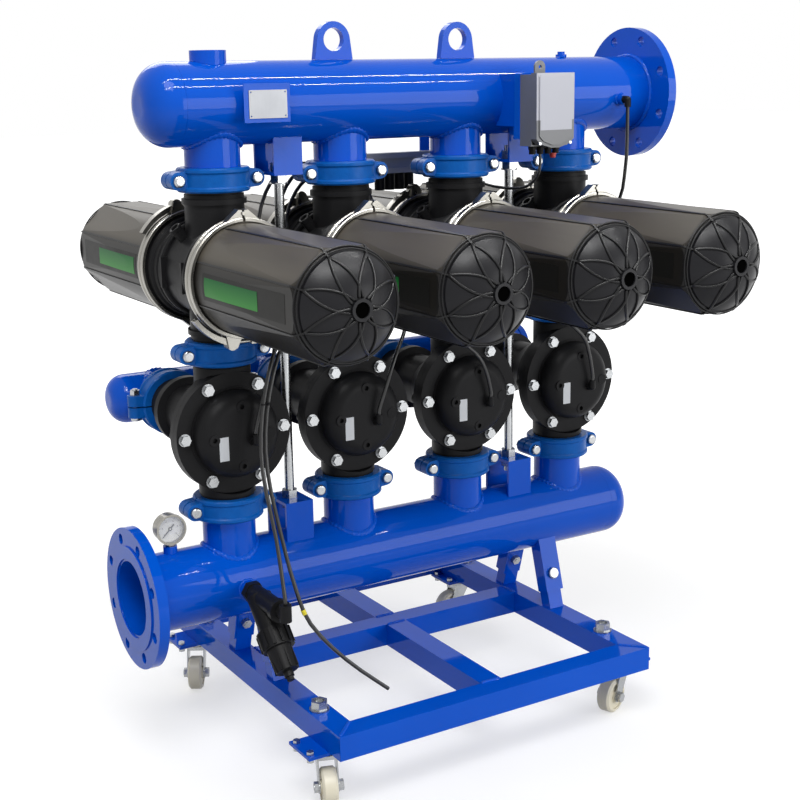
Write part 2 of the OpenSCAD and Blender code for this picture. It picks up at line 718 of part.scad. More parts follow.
// Cover along +Z, joint face at z = 0: round at the joint, eight flats towards the stepped, domed end
module cover_form(l) {
    shoulder = l - cover_dome_l;
    difference() {
        union() {
            cylinder(r = rim_r, h = 8);
            intersection() {
                rotate_extrude() polygon([[0, 0], [barrel_r, 0], [barrel_r, shoulder - 2],
                    [barrel_r - 2.5, shoulder + 4], [barrel_r - 9, shoulder + 8.5], [0, shoulder + 8.5]]);
                rotate([0, 0, 22.5])
                    cylinder(r1 = barrel_r + 11, r2 = barrel_r + 1, h = shoulder + 9, $fn = 8);
            }
            cylinder(r = barrel_r - 10, h = shoulder + 12);
            intersection() {
                translate([0, 0, l - dome_c]) sphere(r = dome_ball);
                translate([0, 0, shoulder]) cylinder(r = dome_r, h = cover_dome_l);
            }
            petal_ribs(l);
            for (k = [0:7]) rotate([0, 0, 22.5 + 45 * k]) translate([barrel_r - 2, -1.2, 6])
                cube([3.2, 2.4, shoulder - 8]);
        }
        translate([0, 0, -1])
            cylinder(r1 = barrel_r - cover_wall - 3, r2 = barrel_r - cover_wall - 8, h = shoulder);
        intersection() {
            translate([0, 0, l - dome_c]) sphere(r = dome_ball - cover_wall);
            translate([0, 0, shoulder - 4]) cylinder(r = dome_r - cover_wall, h = cover_dome_l);
        }
    }
    translate([0, 0, l - 26]) difference() {
        cylinder(d = 38, h = 26);
        translate([0, 0, 12]) cylinder(d = 27, h = 20);
    }
}

module filter_covers() {
    color(BLACK) at_columns() for (s = [0, 1]) mirror([0, s, 0]) translate([0, -filter_half - gap, z_filter])
        rotate([90, 0, 0]) cover_form(cover_reach - filter_half - gap);
}

// Grooved discs stacked on the spine
module disc_stacks() {
    color([0.75, 0.15, 0.12]) at_columns() for (s = [0, 1]) mirror([0, s, 0])
        translate([0, -filter_half - 8 - 2 * gap, z_filter]) rotate([90, 0, 0]) difference() {
            cylinder(r = stack_r, h = stack_l);
            translate([0, 0, -1]) cylinder(r = 48 + gap, h = stack_l + 2);
        }
}

module filter_spines() {
    color(BLACK) at_columns() for (s = [0, 1]) mirror([0, s, 0])
        translate([0, -filter_half - gap, z_filter]) rotate([90, 0, 0]) difference() {
            union() {
                cylinder(r = stack_r + 10, h = 8);
                cylinder(r = 48, h = stack_l + 10);
                translate([0, 0, stack_l + 8 + 2 * gap]) cylinder(r = stack_r + 2, h = 12);
            }
            translate([0, 0, -1]) cylinder(r = 42, h = stack_l + 10);
        }
}

// Clamp round the -Y joint, hinge on top, lever bracket and draw bolt below, centred on the filter axis
module clamp_form() {
    w = clamp_w / 2;
    ri = rim_r + gap;
    lip = cover_r - 2 + 3;
    difference() {
        union() {
            rotate([90, 0, 0]) rotate_extrude() polygon([[lip, -w], [clamp_r - 1.5, -w], [clamp_r, -w + 1.5],
                [clamp_r, -w + 6], [clamp_r - 2, -w + 8.5], [clamp_r - 2, w - 8.5], [clamp_r, w - 6],
                [clamp_r, w - 1.5], [clamp_r - 1.5, w], [lip, w], [ri, w - 4], [ri, -w + 4]]);
            for (s = [-1, 1]) translate([0, 10, 0]) rotate([90, 0, 0]) linear_extrude(20)
                polygon([[s * 36, clamp_r - 7.5], [s * 2, clamp_r - 1.5], [s * 2, clamp_r + 14],
                    [s * 9, clamp_r + 15]]);
            for (y = [-9.6, 12.1]) translate([0, y, 0]) rotate([90, 0, 0]) linear_extrude(2.5)
                polygon([[-15, -clamp_r + 2], [-46, -clamp_r + 11], [lever_pivot[0] - 9, lever_pivot[1] - 6],
                    [lever_pivot[0] + 8, lever_pivot[1] - 7]]);
            translate([8, -8, -clamp_r - 11]) cube([16, 16, 13]);
        }
        translate([-2.5, -50, -200]) cube([5, 100, 400]);
        translate([0, -50, clamp_r + 8]) along_y() cylinder(d = 7 + 2 * gap, h = 100);
        translate([0, 0, -clamp_r - 6]) along_x() cylinder(d = 6 + 2 * gap, h = 40);
    }
    translate([0, -13, clamp_r + 8]) along_y() cylinder(d = 7, h = 26);
    translate([lever_pivot[0], -12, lever_pivot[1]]) along_y() cylinder(d = 6, h = 24);
    translate([-14, 0, -clamp_r - 6]) along_x() cylinder(d = 6, h = 48);
    translate([24 + gap, 0, -clamp_r - 6]) along_x() hex(10, 6);
}

module clamp_bands() {
    color(STEEL) at_columns() {
        translate([0, -filter_half, z_filter]) clamp_form();
        translate([0, filter_half, z_filter]) mirror([0, 0, 1]) clamp_form();
    }
}

// Over-centre lever: wide rounded end at the pivot, narrowing handle that leaves the band at its tip
module lever_form() {
    off = 18.3;
    difference() {
        rotate([90, 0, 0]) translate([0, 0, -8.5]) linear_extrude(17) union() {
            translate(lever_pivot) circle(11);
            difference() {
                intersection() {
                    circle(clamp_r + 15);
                    polygon([[0, 0], lever_pivot * 1.3, [-130, -150],
                        [-200 * cos(lever_tip), -200 * sin(lever_tip)]]);
                }
                translate([-off * cos(lever_tip), -off * sin(lever_tip)]) circle(clamp_r + 7 - off);
            }
        }
        rotate([90, 0, 0]) translate([0, 0, -6]) linear_extrude(12) intersection() {
            circle(clamp_r + 12.5);
            polygon([[0, 0], [-90, -165], [-200 * cos(lever_tip - 4), -200 * sin(lever_tip - 4)]]);
        }
        translate([lever_pivot[0], -30, lever_pivot[1]]) along_y() cylinder(d = 6 + 2 * gap, h = 60);
    }
}

module lever_front(i) {
    color(STEEL) translate([col(i), -filter_half, z_filter]) lever_form();
}

module lever_rear(i) {
    color(STEEL) translate([col(i), filter_half, z_filter]) mirror([0, 0, 1]) lever_form();
}

// Pressure gauge on the inlet manifold
gauge_p = [x1 + gauge_x, 0, z_in + 130];

module gauge_case() {
    r = gauge_d / 2;
    color(STEEL) translate(gauge_p) difference() {
        union() {
            translate([0, 14, 0]) rotate([90, 0, 0]) cylinder(r = r - 2, h = 28);
            translate([0, -7, 0]) rotate([90, 0, 0]) cylinder(r = r, h = 7);
            translate([0, 0, -49]) cylinder(d = 14, h = 40);
            translate([0, 0, -r - 4]) hex(17, 8);
        }
        translate([0, -3, 0]) rotate([90, 0, 0]) cylinder(r = r - 4, h = 20);
    }
}

module gauge_dial() {
    color(WHITE) translate(gauge_p) translate([0, -3 - gap, 0]) rotate([90, 0, 0]) {
        cylinder(r = gauge_d / 2 - 4.4, h = 1);
        cylinder(r = 1.5, h = 4);
    }
}

module gauge_pointer() {
    color(RUBBER) translate(gauge_p) translate([0, -5.2, 0]) rotate([0, 45, 0]) rotate([90, 0, 0])
        difference() {
            union() {
                cylinder(r = 4, h = 1.4);
                linear_extrude(1.4) polygon([[-1.6, 12], [1.6, 12], [1.2, 0], [0.5, -22], [-0.5, -22],
                    [-1.2, 0]]);
            }
            translate([0, 0, -1]) cylinder(r = 1.8, h = 4);
        }
}

module gauge_lens() {
    color([0.8, 0.9, 0.95, 0.3]) translate(gauge_p) translate([0, -11, 0]) rotate([90, 0, 0])
        cylinder(r = gauge_d / 2 - 4.4, h = 2.4);
}

// Y-pattern side filter fed from the inlet manifold: a straight body and a bowl hanging at 45 degrees
module side_filter_body() {
    color(BLACK) translate([x1, 0, z_in]) difference() {
        union() {
            translate([0, -81, 0]) rotate([90, 0, 0]) cylinder(d = 26, h = 40);
            translate([0, -95 - gap, 0]) rotate([90, 0, 0]) hex(40, 16);
            translate([0, -104, 0]) rotate([90, 0, 0]) cylinder(d = 38, h = 112);
            translate([0, -130, 0]) rotate([-45, 0, 0]) translate([0, 0, -82]) cylinder(d = 50, h = 82);
            translate([0, -212, 0]) rotate([90, 0, 0]) cylinder(d = 46, h = 14);
            translate([0, side_y, -14]) cylinder(d = 24, h = 34);
            translate([0, side_y + 24, 0]) rotate([90, 0, 0]) cylinder(d = 24, h = 24);
        }
        translate([0, -70, 0]) rotate([90, 0, 0]) cylinder(d = 16, h = 70);
        translate([0, -130, 0]) rotate([-45, 0, 0]) translate([0, 0, -90]) cylinder(d = 40, h = 70);
        translate([0, side_y, 8]) cylinder(d = hose_d + 2 * gap, h = 30);
    }
}

module side_filter_bowl() {
    color(BLACK) translate([x1, -130, z_in]) rotate([-45, 0, 0]) difference() {
        union() {
            translate([0, 0, -116]) cylinder(d = 64, h = 40);
            for (k = [0:11]) rotate([0, 0, 30 * k]) translate([30, -3, -113]) cube([5, 6, 34]);
            translate([0, 0, -164]) cylinder(d1 = 44, d2 = 52, h = 49);
            for (k = [0:7]) rotate([0, 0, 45 * k]) translate([20, -1.5, -162]) cube([6, 3, 47]);
            translate([0, 0, -176]) cylinder(d = 20, h = 14);
            translate([0, 0, -184]) hex(14, 10);
        }
        translate([0, 0, -82 - gap]) cylinder(d = 50 + 2 * gap, h = 20);
        translate([0, 0, -150]) cylinder(d = 36, h = 90);
    }
}

// Irrigation controller on its bracket
module ctrl_plan(w, h) {
    polygon([[-w / 2, h / 2], [w / 2, h / 2], [w / 2, -h / 2 + 18], [w / 2 - 10, -h / 2 + 8],
        [10, -h / 2], [-10, -h / 2], [-w / 2 + 10, -h / 2 + 8], [-w / 2, -h / 2 + 18]]);
}

module controller_base() {
    color(GREY) translate([ctrl_x, ctrl_y - gap, ctrl_z]) rotate([90, 0, 0]) difference() {
        union() {
            linear_extrude(38) square([ctrl_w, ctrl_h - 6], center = true);
            translate([0, ctrl_h / 2 + 4, 0]) linear_extrude(5) union() {
                square([26, 16], center = true);
                translate([0, 8]) circle(13);
            }
        }
        translate([0, 0, 4]) linear_extrude(40) square([ctrl_w - 6, ctrl_h - 12], center = true);
        translate([0, ctrl_h / 2 + 12, -1]) cylinder(d = 8, h = 10);
        for (x = [-30, -10, 10, 30]) translate([x, -ctrl_h / 2 - 5, 20]) rotate([-90, 0, 0])
            cylinder(d = 12, h = 16);
    }
}

module controller_cover() {
    color(WHITE) translate([ctrl_x, ctrl_y - 38 - 2 * gap, ctrl_z]) rotate([90, 0, 0]) difference() {
        union() {
            linear_extrude(20) ctrl_plan(ctrl_w + 2, ctrl_h);
            linear_extrude(23) ctrl_plan(ctrl_w - 10, ctrl_h - 12);
        }
        translate([0, 0, -1]) linear_extrude(18) ctrl_plan(ctrl_w - 6, ctrl_h - 10);
    }
}

module controller_glands() {
    color(BLACK) for (x = [-30, -10, 10, 30])
        translate([ctrl_x + x, ctrl_y - 20 - gap, ctrl_z - ctrl_h / 2 + 3]) {
            translate([0, 0, -2]) cylinder(d = 11.4, h = 7);
            translate([0, 0, -8 - gap]) hex(16, 8);
            translate([0, 0, -17]) cylinder(d = 14, h = 10);
        }
}

module rating_plate() {
    color(STEEL) translate([x1 + 36, -98.2 - gap, z_out - 27]) difference() {
        cube([79, 1.2, 52]);
        for (x = [4, 75], z = [4, 48]) translate([x, -1, z]) along_y() cylinder(d = 3, h = 4);
    }
}

// Pilot valves behind the outlet manifold
module pilot_rail() {
    color(GREY) translate(rail_p) difference() {
        translate([-100, -14, -22]) cube([200, 28, 44]);
        translate([-101, -18, -10]) cube([202, 12, 20]);
        for (x = [-40, -15, 10, 35]) translate([x, 0, -30]) cylinder(d = 10.6, h = 20);
    }
}

module pilot_solenoids() {
    color(BLACK) translate(rail_p) for (x = [-40, -15, 10, 35]) translate([x, 0, -22 - gap]) {
        translate([0, 0, -36]) cylinder(d = 22, h = 36);
        cylinder(d = 10, h = 10);
    }
}

// Push-in elbows on the bonnets and on the outlet manifold
module elbow() {
    rotate([90, 0, 0]) translate([0, 0, -16]) cylinder(d = 10, h = 18);
    rotate([90, 0, 0]) hex(15, 7);
    translate([0, -12, 0]) difference() {
        union() {
            rotate([-90, 0, 0]) cylinder(d = 13, h = 10);
            sphere(d = 14);
            cylinder(d = 14, h = 16);
        }
        translate([0, 0, 6]) cylinder(d = hose_d + 2 * gap, h = 20);
    }
}

module tube_fittings() {
    color(BLACK) {
        at_columns() translate([22, bonnet_front - gap, z_valve - 12]) elbow();
        translate([x1 + fitting_x, -92 - gap, z_out - 13]) mirror([0, 0, 1]) elbow();
    }
}

// Control tubes: smooth routes through hand-placed points, from the first column and inlet axis
function cr(a, b, c, d, t) = 0.5 * (2 * b + (c - a) * t + (2 * a - 5 * b + 4 * c - d) * t * t
    + (3 * b - a - 3 * c + d) * t * t * t);
function smooth(p, n) = let (m = len(p) - 1)
    [for (i = [0:m - 1], k = [0:n - 1]) cr(p[max(i - 1, 0)], p[i], p[i + 1], p[min(i + 2, m)], k / n), p[m]];
function unit(v) = v / norm(v);
function tangent(q, i) = unit(q[min(i + 1, len(q) - 1)] - q[max(i - 1, 0)]);

module hose(p, ref, d = hose_d) {
    q = smooth(p, 3);
    n = len(q);
    s = 8;
    pts = [for (i = [0:n - 1]) let (t = tangent(q, i), a = unit(cross(t, ref)), b = cross(t, a))
        for (j = [0:s - 1]) q[i] + d / 2 * (cos(360 * j / s) * a + sin(360 * j / s) * b)];
    sides = [for (i = [0:n - 2], j = [0:s - 1])
        [i * s + j, (i + 1) * s + j, (i + 1) * s + (j + 1) % s, i * s + (j + 1) % s]];
    ends = [[for (j = [0:s - 1]) j], [for (j = [0:s - 1]) n * s - 1 - j]];
    color(RUBBER) translate([x1, 0, z_in]) polyhedron(points = pts, faces = concat(sides, ends));
}

e_y = bonnet_front - gap - 12;
e_z = z_valve - z_in - 12 + 7;
p_z = rail_p[2] - z_in;

module tube_valve_1() {
    hose([[22, e_y, e_z], [22, e_y, e_z + 10], [22.5, e_y - 1, e_z + 22], [45, -100, 410], [95, -50, 490],
        [114, 20, 580], [118, 60, 690], [150, 82, 772], [205, 96, p_z + 8], [270, 100, p_z + 11],
        [318, 112, p_z + 11], [355, 138, p_z + 11], [399.7, 150, p_z + 11]], [0.9, -0.3, -0.3]);
}

module tube_valve_2() {
    hose([[302, e_y, e_z], [302, e_y, e_z + 10], [302.5, e_y - 1, e_z + 22], [318, -106, 385],
        [340, -104, 440], [388, -70, 498], [422, -10, 560], [416, 50, 660], [411, 100, 712], [411, 138, 752],
        [412, 150, p_z - 22.8]], [0.9, -0.3, -0.3]);
}

module tube_valve_3() {
    hose([[582, e_y, e_z], [582, e_y, e_z + 10], [581.5, e_y - 1, e_z + 22], [565, -104, 385],
        [540, -100, 425], [475, -85, 480], [440, -20, 540], [430, 50, 660], [426, 100, 712], [426, 138, 752],
        [426, 150, p_z - 22.8]], [0.9, 0.3, 0.3]);
}

module tube_valve_4() {
    hose([[862, e_y, e_z], [862, e_y, e_z + 10], [861.5, e_y - 1, e_z + 22], [848, -104, 385],
        [830, -100, 430], [775, -70, 485], [728, -25, 540], [712, 40, 620], [690, 85, 720], [662, 120, 785],
        [634, 148, p_z - 12], [600.3, 155, p_z - 10]], [0.6, 0.6, 0.3]);
}

module tube_side_filter() {
    hose([[0, side_y, 9], [0, side_y, 20], [0, side_y + 0.5, 34], [6, -205, 140], [8, -152, 262],
        [20, -135, 370], [56, -118, 478], [124, -62, 540], [164, 0, 600], [168, 62, 700], [190, 86, 765],
        [232, 97, p_z - 6], [280, 101, p_z], [322, 112, p_z], [358, 137, p_z],
        [399.7, 150, p_z]], [0.9, -0.3, -0.3]);
}

module tube_drain() {
    hose([[205, -280, -192], [120, -262, -115], [52, -248, -30], [26, -238, 50], [20, -200, 140],
        [20, -148, 262], [32, -131, 370], [70, -114, 478], [140, -64, 536], [180, 0, 596], [184, 60, 698],
        [212, 86, 755], [250, 97, p_z - 22], [290, 101, p_z - 12], [326, 112, p_z - 11],
        [361, 137, p_z - 11], [399.7, 150, p_z - 11]], [0.9, -0.3, -0.3]);
}

module tube_outlet() {
    hose([[fitting_x, -104.3, 934], [fitting_x, -104.3, 924], [fitting_x, -104.6, 912],
        [fitting_x - 1, -106, 850], [fitting_x - 2, -104, 800], [952, -75, 725], [960, -10, 705],
        [930, 60, 745], [860, 88, 790], [800, 96, p_z - 2], [735, 101, p_z + 6],
        [690, 122, p_z + 8], [650, 148, p_z + 9], [600.3, 155, p_z + 10]], [0.5, 0.7, 0.4]);
}

module cable_controller() {
    hose([[675, -145.3, 836.7], [675, -145.3, 815], [672, -140, 790], [664, -112, 768], [652, -60, 762],
        [645, 0, 766], [642, 50, 776], [640, 95, 792], [634, 125, 806], [622, 139, p_z],
        [600.3, 142, p_z + 2]], [0.9, 0.2, 0.4], 6);
}

base_frame();
caster_plates();
frame_bolts();
inlet_pipe();
outlet_pipe();
drain_pipe();
pipe_flanges();
branch_stubs();
lifting_lugs();
pipe_brackets();
tie_rods();
coupling_shells();
coupling_bolts();
rubber_seals();
valve_bodies();
valve_bonnets();
valve_plungers();
valve_bolts();
filter_bodies();
filter_covers();
disc_stacks();
filter_spines();
clamp_bands();
gauge_case();
gauge_dial();
gauge_lens();
gauge_pointer();
side_filter_body();
side_filter_bowl();
controller_base();
controller_cover();
controller_glands();
rating_plate();
pilot_rail();
pilot_solenoids();
tube_fittings();
caster_fork(-1, -1, 250);  // caster_fork_fl
caster_fork(1, -1, 200);  // caster_fork_fr
caster_fork(-1, 1, 239);  // caster_fork_rl
caster_fork(1, 1, 175);  // caster_fork_rr
caster_wheel(-1, -1, 250);  // caster_wheel_fl
caster_wheel(1, -1, 200);  // caster_wheel_fr
caster_wheel(-1, 1, 239);  // caster_wheel_rl
caster_wheel(1, 1, 175);  // caster_wheel_rr
lever_front(0);  // clamp_lever_f1
lever_front(1);  // clamp_lever_f2
lever_front(2);  // clamp_lever_f3
lever_front(3);  // clamp_lever_f4
lever_rear(0);  // clamp_lever_r1
lever_rear(1);  // clamp_lever_r2
lever_rear(2);  // clamp_lever_r3
lever_rear(3);  // clamp_lever_r4
tube_valve_1();
tube_valve_2();
tube_valve_3();
tube_valve_4();
tube_side_filter();
tube_drain();
tube_outlet();
cable_controller();
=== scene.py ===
import math

import bmesh
import bpy
from mathutils import Matrix, Vector


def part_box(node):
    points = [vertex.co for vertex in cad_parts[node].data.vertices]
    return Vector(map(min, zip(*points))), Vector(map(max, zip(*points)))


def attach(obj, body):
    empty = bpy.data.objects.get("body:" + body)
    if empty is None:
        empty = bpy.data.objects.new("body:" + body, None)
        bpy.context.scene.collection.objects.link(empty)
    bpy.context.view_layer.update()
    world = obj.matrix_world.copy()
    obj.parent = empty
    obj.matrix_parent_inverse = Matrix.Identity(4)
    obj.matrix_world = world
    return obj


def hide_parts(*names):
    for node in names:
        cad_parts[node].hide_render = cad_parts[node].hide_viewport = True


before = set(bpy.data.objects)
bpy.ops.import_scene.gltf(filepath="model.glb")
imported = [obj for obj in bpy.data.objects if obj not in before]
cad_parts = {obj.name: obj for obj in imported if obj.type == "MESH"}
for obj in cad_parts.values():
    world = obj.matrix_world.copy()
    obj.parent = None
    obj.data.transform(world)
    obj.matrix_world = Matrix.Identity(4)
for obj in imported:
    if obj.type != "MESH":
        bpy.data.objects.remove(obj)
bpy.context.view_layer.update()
scene = bpy.context.scene
MM = 0.001

# Places shared with the solids, in millimetres
FIRST = -417.0          # first column
PITCH = 280.0
COLUMNS = [FIRST + PITCH * i for i in range(4)]
INLET_Z = 366.0
OUTLET_Z = 1320.0
VALVE_Z = 684.0
FILTER_Z = 1000.0
MANIFOLD_R = 79.5
STUB_R = 54.0
DRAIN_Y = 365.0
LENGTH = 1270.0
FLANGE_T = 24.0
COVER_R = 105.0         # barrel of a cover
COVER_START = 120.3     # joint face of a cover, from the filter's middle
COVER_SHOULDER = 387.7  # straight part of a cover
COVER_REACH = 570.0     # end of a cover, from the filter's middle
DOME_R = 91.0
DOME_C = 124.118        # middle of the dome's ball, below the end of the cover
DOME_BALL = 119.931
PETAL_WIDE = (52.0, 15.0)  # widest point of half a petal, from the hub's middle
PETAL_FOOT = (17.0, 11.0)  # where a rib meets the hub
RIB_W = 5.8
RIB_H = 4.2
RIB_SUNK = 0.4          # depth of a rib's edges in the dome
SEAM_W = 3.2
HUB_BORE_R = 13.3
HUB_FLOOR = 565.9       # floor of the bore in a cover's hub, from the filter's middle
FRAME_TOP = 166.3
FRAME_LEFT, FRAME_RIGHT = -389.0, 369.0
FRAME_MIDDLE = -10.0    # inner tubes that run from front to back
FRAME_CROSS = 48.0      # inner tube that runs across
FRAME_HALF = 398.0      # half of the frame's depth
FRAME_TUBE = 50.0
FRAME_BEAD = 3.2        # radius of a bead on the frame
GAUGE = (FIRST - 130.0, 0.0, INLET_Z + 130.0)
DIAL_R = 25.5           # outer ends of the dial's marks
FIGURE_R = 16.5
DIAL_FACE = 4.4         # the dial's marks, in front of the gauge's middle
BODY = "station"

CAMERA_TURN = (31.227, 13.316, -0.9176)     # yaw, pitch and roll in degrees
CAMERA_SPOT = (-1.5187, -2.4981, 1.3758)    # in metres
CAMERA_LENS = 62.6
TUBE_D, CABLE_D = 0.008, 0.006              # in metres


def add_object(name, data):
    thing = bpy.data.objects.new(name, data)
    scene.collection.objects.link(thing)
    return thing


# Camera

def set_camera():
    yaw, pitch, roll = (math.radians(a) for a in CAMERA_TURN)
    ahead = Vector((math.sin(yaw) * math.cos(pitch), math.cos(yaw) * math.cos(pitch), -math.sin(pitch)))
    level = Vector((math.cos(yaw), -math.sin(yaw), 0))
    above = level.cross(ahead)
    right = math.cos(roll) * level + math.sin(roll) * above
    up = -math.sin(roll) * level + math.cos(roll) * above
    data = bpy.data.cameras.new("photo_camera")
    data.sensor_width = 36
    data.lens = CAMERA_LENS
    data.clip_end = 80
    camera = add_object("photo_camera", data)
    camera.matrix_world = Matrix.Translation(CAMERA_SPOT) @ Matrix((right, up, -ahead)).transposed().to_4x4()
    scene.camera = camera


set_camera()


# Control tubes and the controller's cable

def spline_through(points, parts=3):
    """Smooth route through points that are given from the first column and the inlet manifold's axis."""
    points = [Vector(p) for p in points]
    last = len(points) - 1
    route = []
    for i in range(last):
        a, b, c, d = points[max(i - 1, 0)], points[i], points[i + 1], points[min(i + 2, last)]
        for k in range(parts):
            t = k / parts
            route.append(0.5 * (2 * b + (c - a) * t + (2 * a - 5 * b + 4 * c - d) * t * t
                                + (3 * b - a - 3 * c + d) * t ** 3))
    route.append(points[last])
    return [Vector((p.x + FIRST, p.y, p.z + INLET_Z)) * MM for p in route]


E_Y, E_Z = -99.3, 313.0     # elbow on a valve bonnet
P_Z = 814.0                 # pilot valve rail
ROUTES = {
    "tube_valve_1": [(22, E_Y, E_Z), (22, E_Y, E_Z + 10), (22.5, E_Y - 1, E_Z + 22), (45, -100, 410),
                     (95, -50, 490), (114, 20, 580), (118, 60, 690), (150, 82, 772), (205, 96, P_Z + 8),
                     (270, 100, P_Z + 11), (318, 112, P_Z + 11), (355, 138, P_Z + 11),
                     (399.7, 150, P_Z + 11)],
    "tube_valve_2": [(302, E_Y, E_Z), (302, E_Y, E_Z + 10), (302.5, E_Y - 1, E_Z + 22), (318, -106, 385),
                     (340, -104, 440), (388, -70, 498), (422, -10, 560), (416, 50, 660), (411, 100, 712),
                     (411, 138, 752), (412, 150, P_Z - 22.8)],
    "tube_valve_3": [(582, E_Y, E_Z), (582, E_Y, E_Z + 10), (581.5, E_Y - 1, E_Z + 22), (565, -104, 385),
                     (540, -100, 425), (475, -85, 480), (440, -20, 540), (430, 50, 660), (426, 100, 712),
                     (426, 138, 752), (426, 150, P_Z - 22.8)],
    "tube_valve_4": [(862, E_Y, E_Z), (862, E_Y, E_Z + 10), (861.5, E_Y - 1, E_Z + 22), (848, -104, 385),
                     (830, -100, 430), (775, -70, 485), (728, -25, 540), (712, 40, 620), (690, 85, 720),
                     (662, 120, 785), (634, 148, P_Z - 12), (600.3, 155, P_Z - 10)],
    "tube_side_filter": [(0, -246, 9), (0, -246, 20), (0, -245.5, 34), (6, -205, 140), (8, -152, 262),
                         (20, -135, 370), (56, -118, 478), (124, -62, 540), (164, 0, 600), (168, 62, 700),
                         (190, 86, 765), (232, 97, P_Z - 6), (280, 101, P_Z), (322, 112, P_Z),
                         (358, 137, P_Z), (399.7, 150, P_Z)],
    "tube_drain": [(205, -280, -192), (120, -262, -115), (52, -248, -30), (26, -238, 50), (20, -200, 140),
                   (20, -148, 262), (32, -131, 370), (70, -114, 478), (140, -64, 536), (180, 0, 596),
                   (184, 60, 698), (212, 86, 755), (250, 97, P_Z - 22), (290, 101, P_Z - 12),
                   (326, 112, P_Z - 11), (361, 137, P_Z - 11), (399.7, 150, P_Z - 11)],
    "tube_outlet": [(944, -104.3, 934), (944, -104.3, 924), (944, -104.6, 912), (943, -106, 850),
                    (942, -104, 800), (952, -75, 725), (960, -10, 705), (930, 60, 745), (860, 88, 790),
                    (800, 96, P_Z - 2), (735, 101, P_Z + 6), (690, 122, P_Z + 8), (650, 148, P_Z + 9),
                    (600.3, 155, P_Z + 10)],
    "cable_controller": [(675, -145.3, 836.7), (675, -145.3, 815), (672, -140, 790), (664, -112, 768),
                         (652, -60, 762), (645, 0, 766), (642, 50, 776), (640, 95, 792), (634, 125, 806),
                         (622, 139, P_Z), (600.3, 142, P_Z + 2)],
}


def lay_tube(node, control):
    thick = CABLE_D if node == "cable_controller" else TUBE_D
    route = spline_through(control)
    if node == "tube_drain":
        route.reverse()
    data = bpy.data.curves.new("soft_" + node, "CURVE")
    data.dimensions = "3D"
    data.bevel_depth = 1.0
    data.bevel_resolution = 3
    data.use_fill_caps = True
    line = data.splines.new("POLY")
    line.points.add(len(route) - 1)
    for knot, p in zip(line.points, route):
        knot.co = (*p, 1)
        knot.radius = thick / 2
    piece = add_object("soft_" + node, data)
    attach(piece, BODY)
    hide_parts(node)
    return piece


tubes = {node: lay_tube(node, control) for node, control in ROUTES.items()}


# Material bench

class Wire:
    """A socket of a material that takes part in plain arithmetic."""

    def __init__(self, bench, socket):
        self.bench, self.socket = bench, socket

    def __add__(self, other):
        return self.bench.math("ADD", self, other)

    def __radd__(self, other):
        return self.bench.math("ADD", other, self)

    def __sub__(self, other):
        return self.bench.math("SUBTRACT", self, other)

    def __rsub__(self, other):
        return self.bench.math("SUBTRACT", other, self)

    def __mul__(self, other):
        return self.bench.math("MULTIPLY", self, other)

    def __rmul__(self, other):
        return self.bench.math("MULTIPLY", other, self)

    def __truediv__(self, other):
        return self.bench.math("DIVIDE", self, other)

    def __gt__(self, other):
        return self.bench.math("GREATER_THAN", self, other)

    def __lt__(self, other):
        return self.bench.math("LESS_THAN", self, other)


class Bench:
    """One material, built node by node."""

    def __init__(self, name):
        self.material = bpy.data.materials.new(name)
        self.material.use_nodes = True
        self.tree = self.material.node_tree
        self.shader = self.tree.nodes["Principled BSDF"]
        self.place = self.node("ShaderNodeTexCoord", out="Object")

    def node(self, kind, settings=None, out=0, inputs=None):
        made = self.tree.nodes.new(kind)
        for key, value in (settings or {}).items():
            setattr(made, key, value)
        for key, value in (inputs or {}).items():
            self.feed(made.inputs[key], value)
        return Wire(self, made.outputs[out])

    def feed(self, socket, value):
        if isinstance(value, Wire):
            self.tree.links.new(value.socket, socket)
        else:
            socket.default_value = value

    def math(self, operation, a, b):
        return self.node("ShaderNodeMath", {"operation": operation}, inputs={0: a, 1: b})

    def noise(self, scale, detail=3.0, rough=0.5, place=None):
        return self.node("ShaderNodeTexNoise", inputs={"Vector": place or self.place, "Scale": scale,
                                                       "Detail": detail, "Roughness": rough})

    def mix(self, amount, first, second):
        return self.node("ShaderNodeMix", {"data_type": "RGBA"}, out=2,
                         inputs={0: amount, 6: first, 7: second})

    def stretch(self, factors):
        return self.node("ShaderNodeMapping", inputs={"Vector": self.place, "Scale": factors})

    def axis(self, name):
        return self.node("ShaderNodeSeparateXYZ", out=name, inputs={0: self.place})

    def bump(self, height, strength, distance=0.001):
        return self.node("ShaderNodeBump", inputs={"Height": height, "Strength": strength,
                                                   "Distance": distance})

    def done(self, **sockets):
        for key, value in sockets.items():
            self.feed(self.shader.inputs[key.replace("_", " ")], value)
        return self.material


def gloss_paint(name, deep, light, rough, peel, peel_scale=260.0):
    """Sprayed paint with a faint orange peel and a little dust."""
    b = Bench(name)
    cloud = b.noise(5.0, 2.0)
    dust_and_sheen = b.noise(46.0, 5.0, 0.62)
    skin = b.noise(peel_scale, 2.0)
    colour = b.mix(cloud, (*deep, 1), (*light, 1))
    return b.done(Base_Color=colour, Roughness=rough + (dust_and_sheen - 0.5) * 0.04, Specular_IOR_Level=0.13,
                  Normal=b.bump(skin + dust_and_sheen * 0.4, peel))


def cast_paint(name, deep, light):
    """Paint over a rough casting: lumpy skin, thin on the high spots."""
    b = Bench(name)
    lumps = b.noise(70.0, 4.0, 0.6)
    grit = b.noise(420.0, 2.0)
    colour = b.mix(lumps, (*deep, 1), (*light, 1))
    return b.done(Base_Color=colour, Roughness=0.33 + (grit - 0.5) * 0.18, Specular_IOR_Level=0.11,
                  Normal=b.bump(lumps + grit * 0.35, 0.35, 0.002))


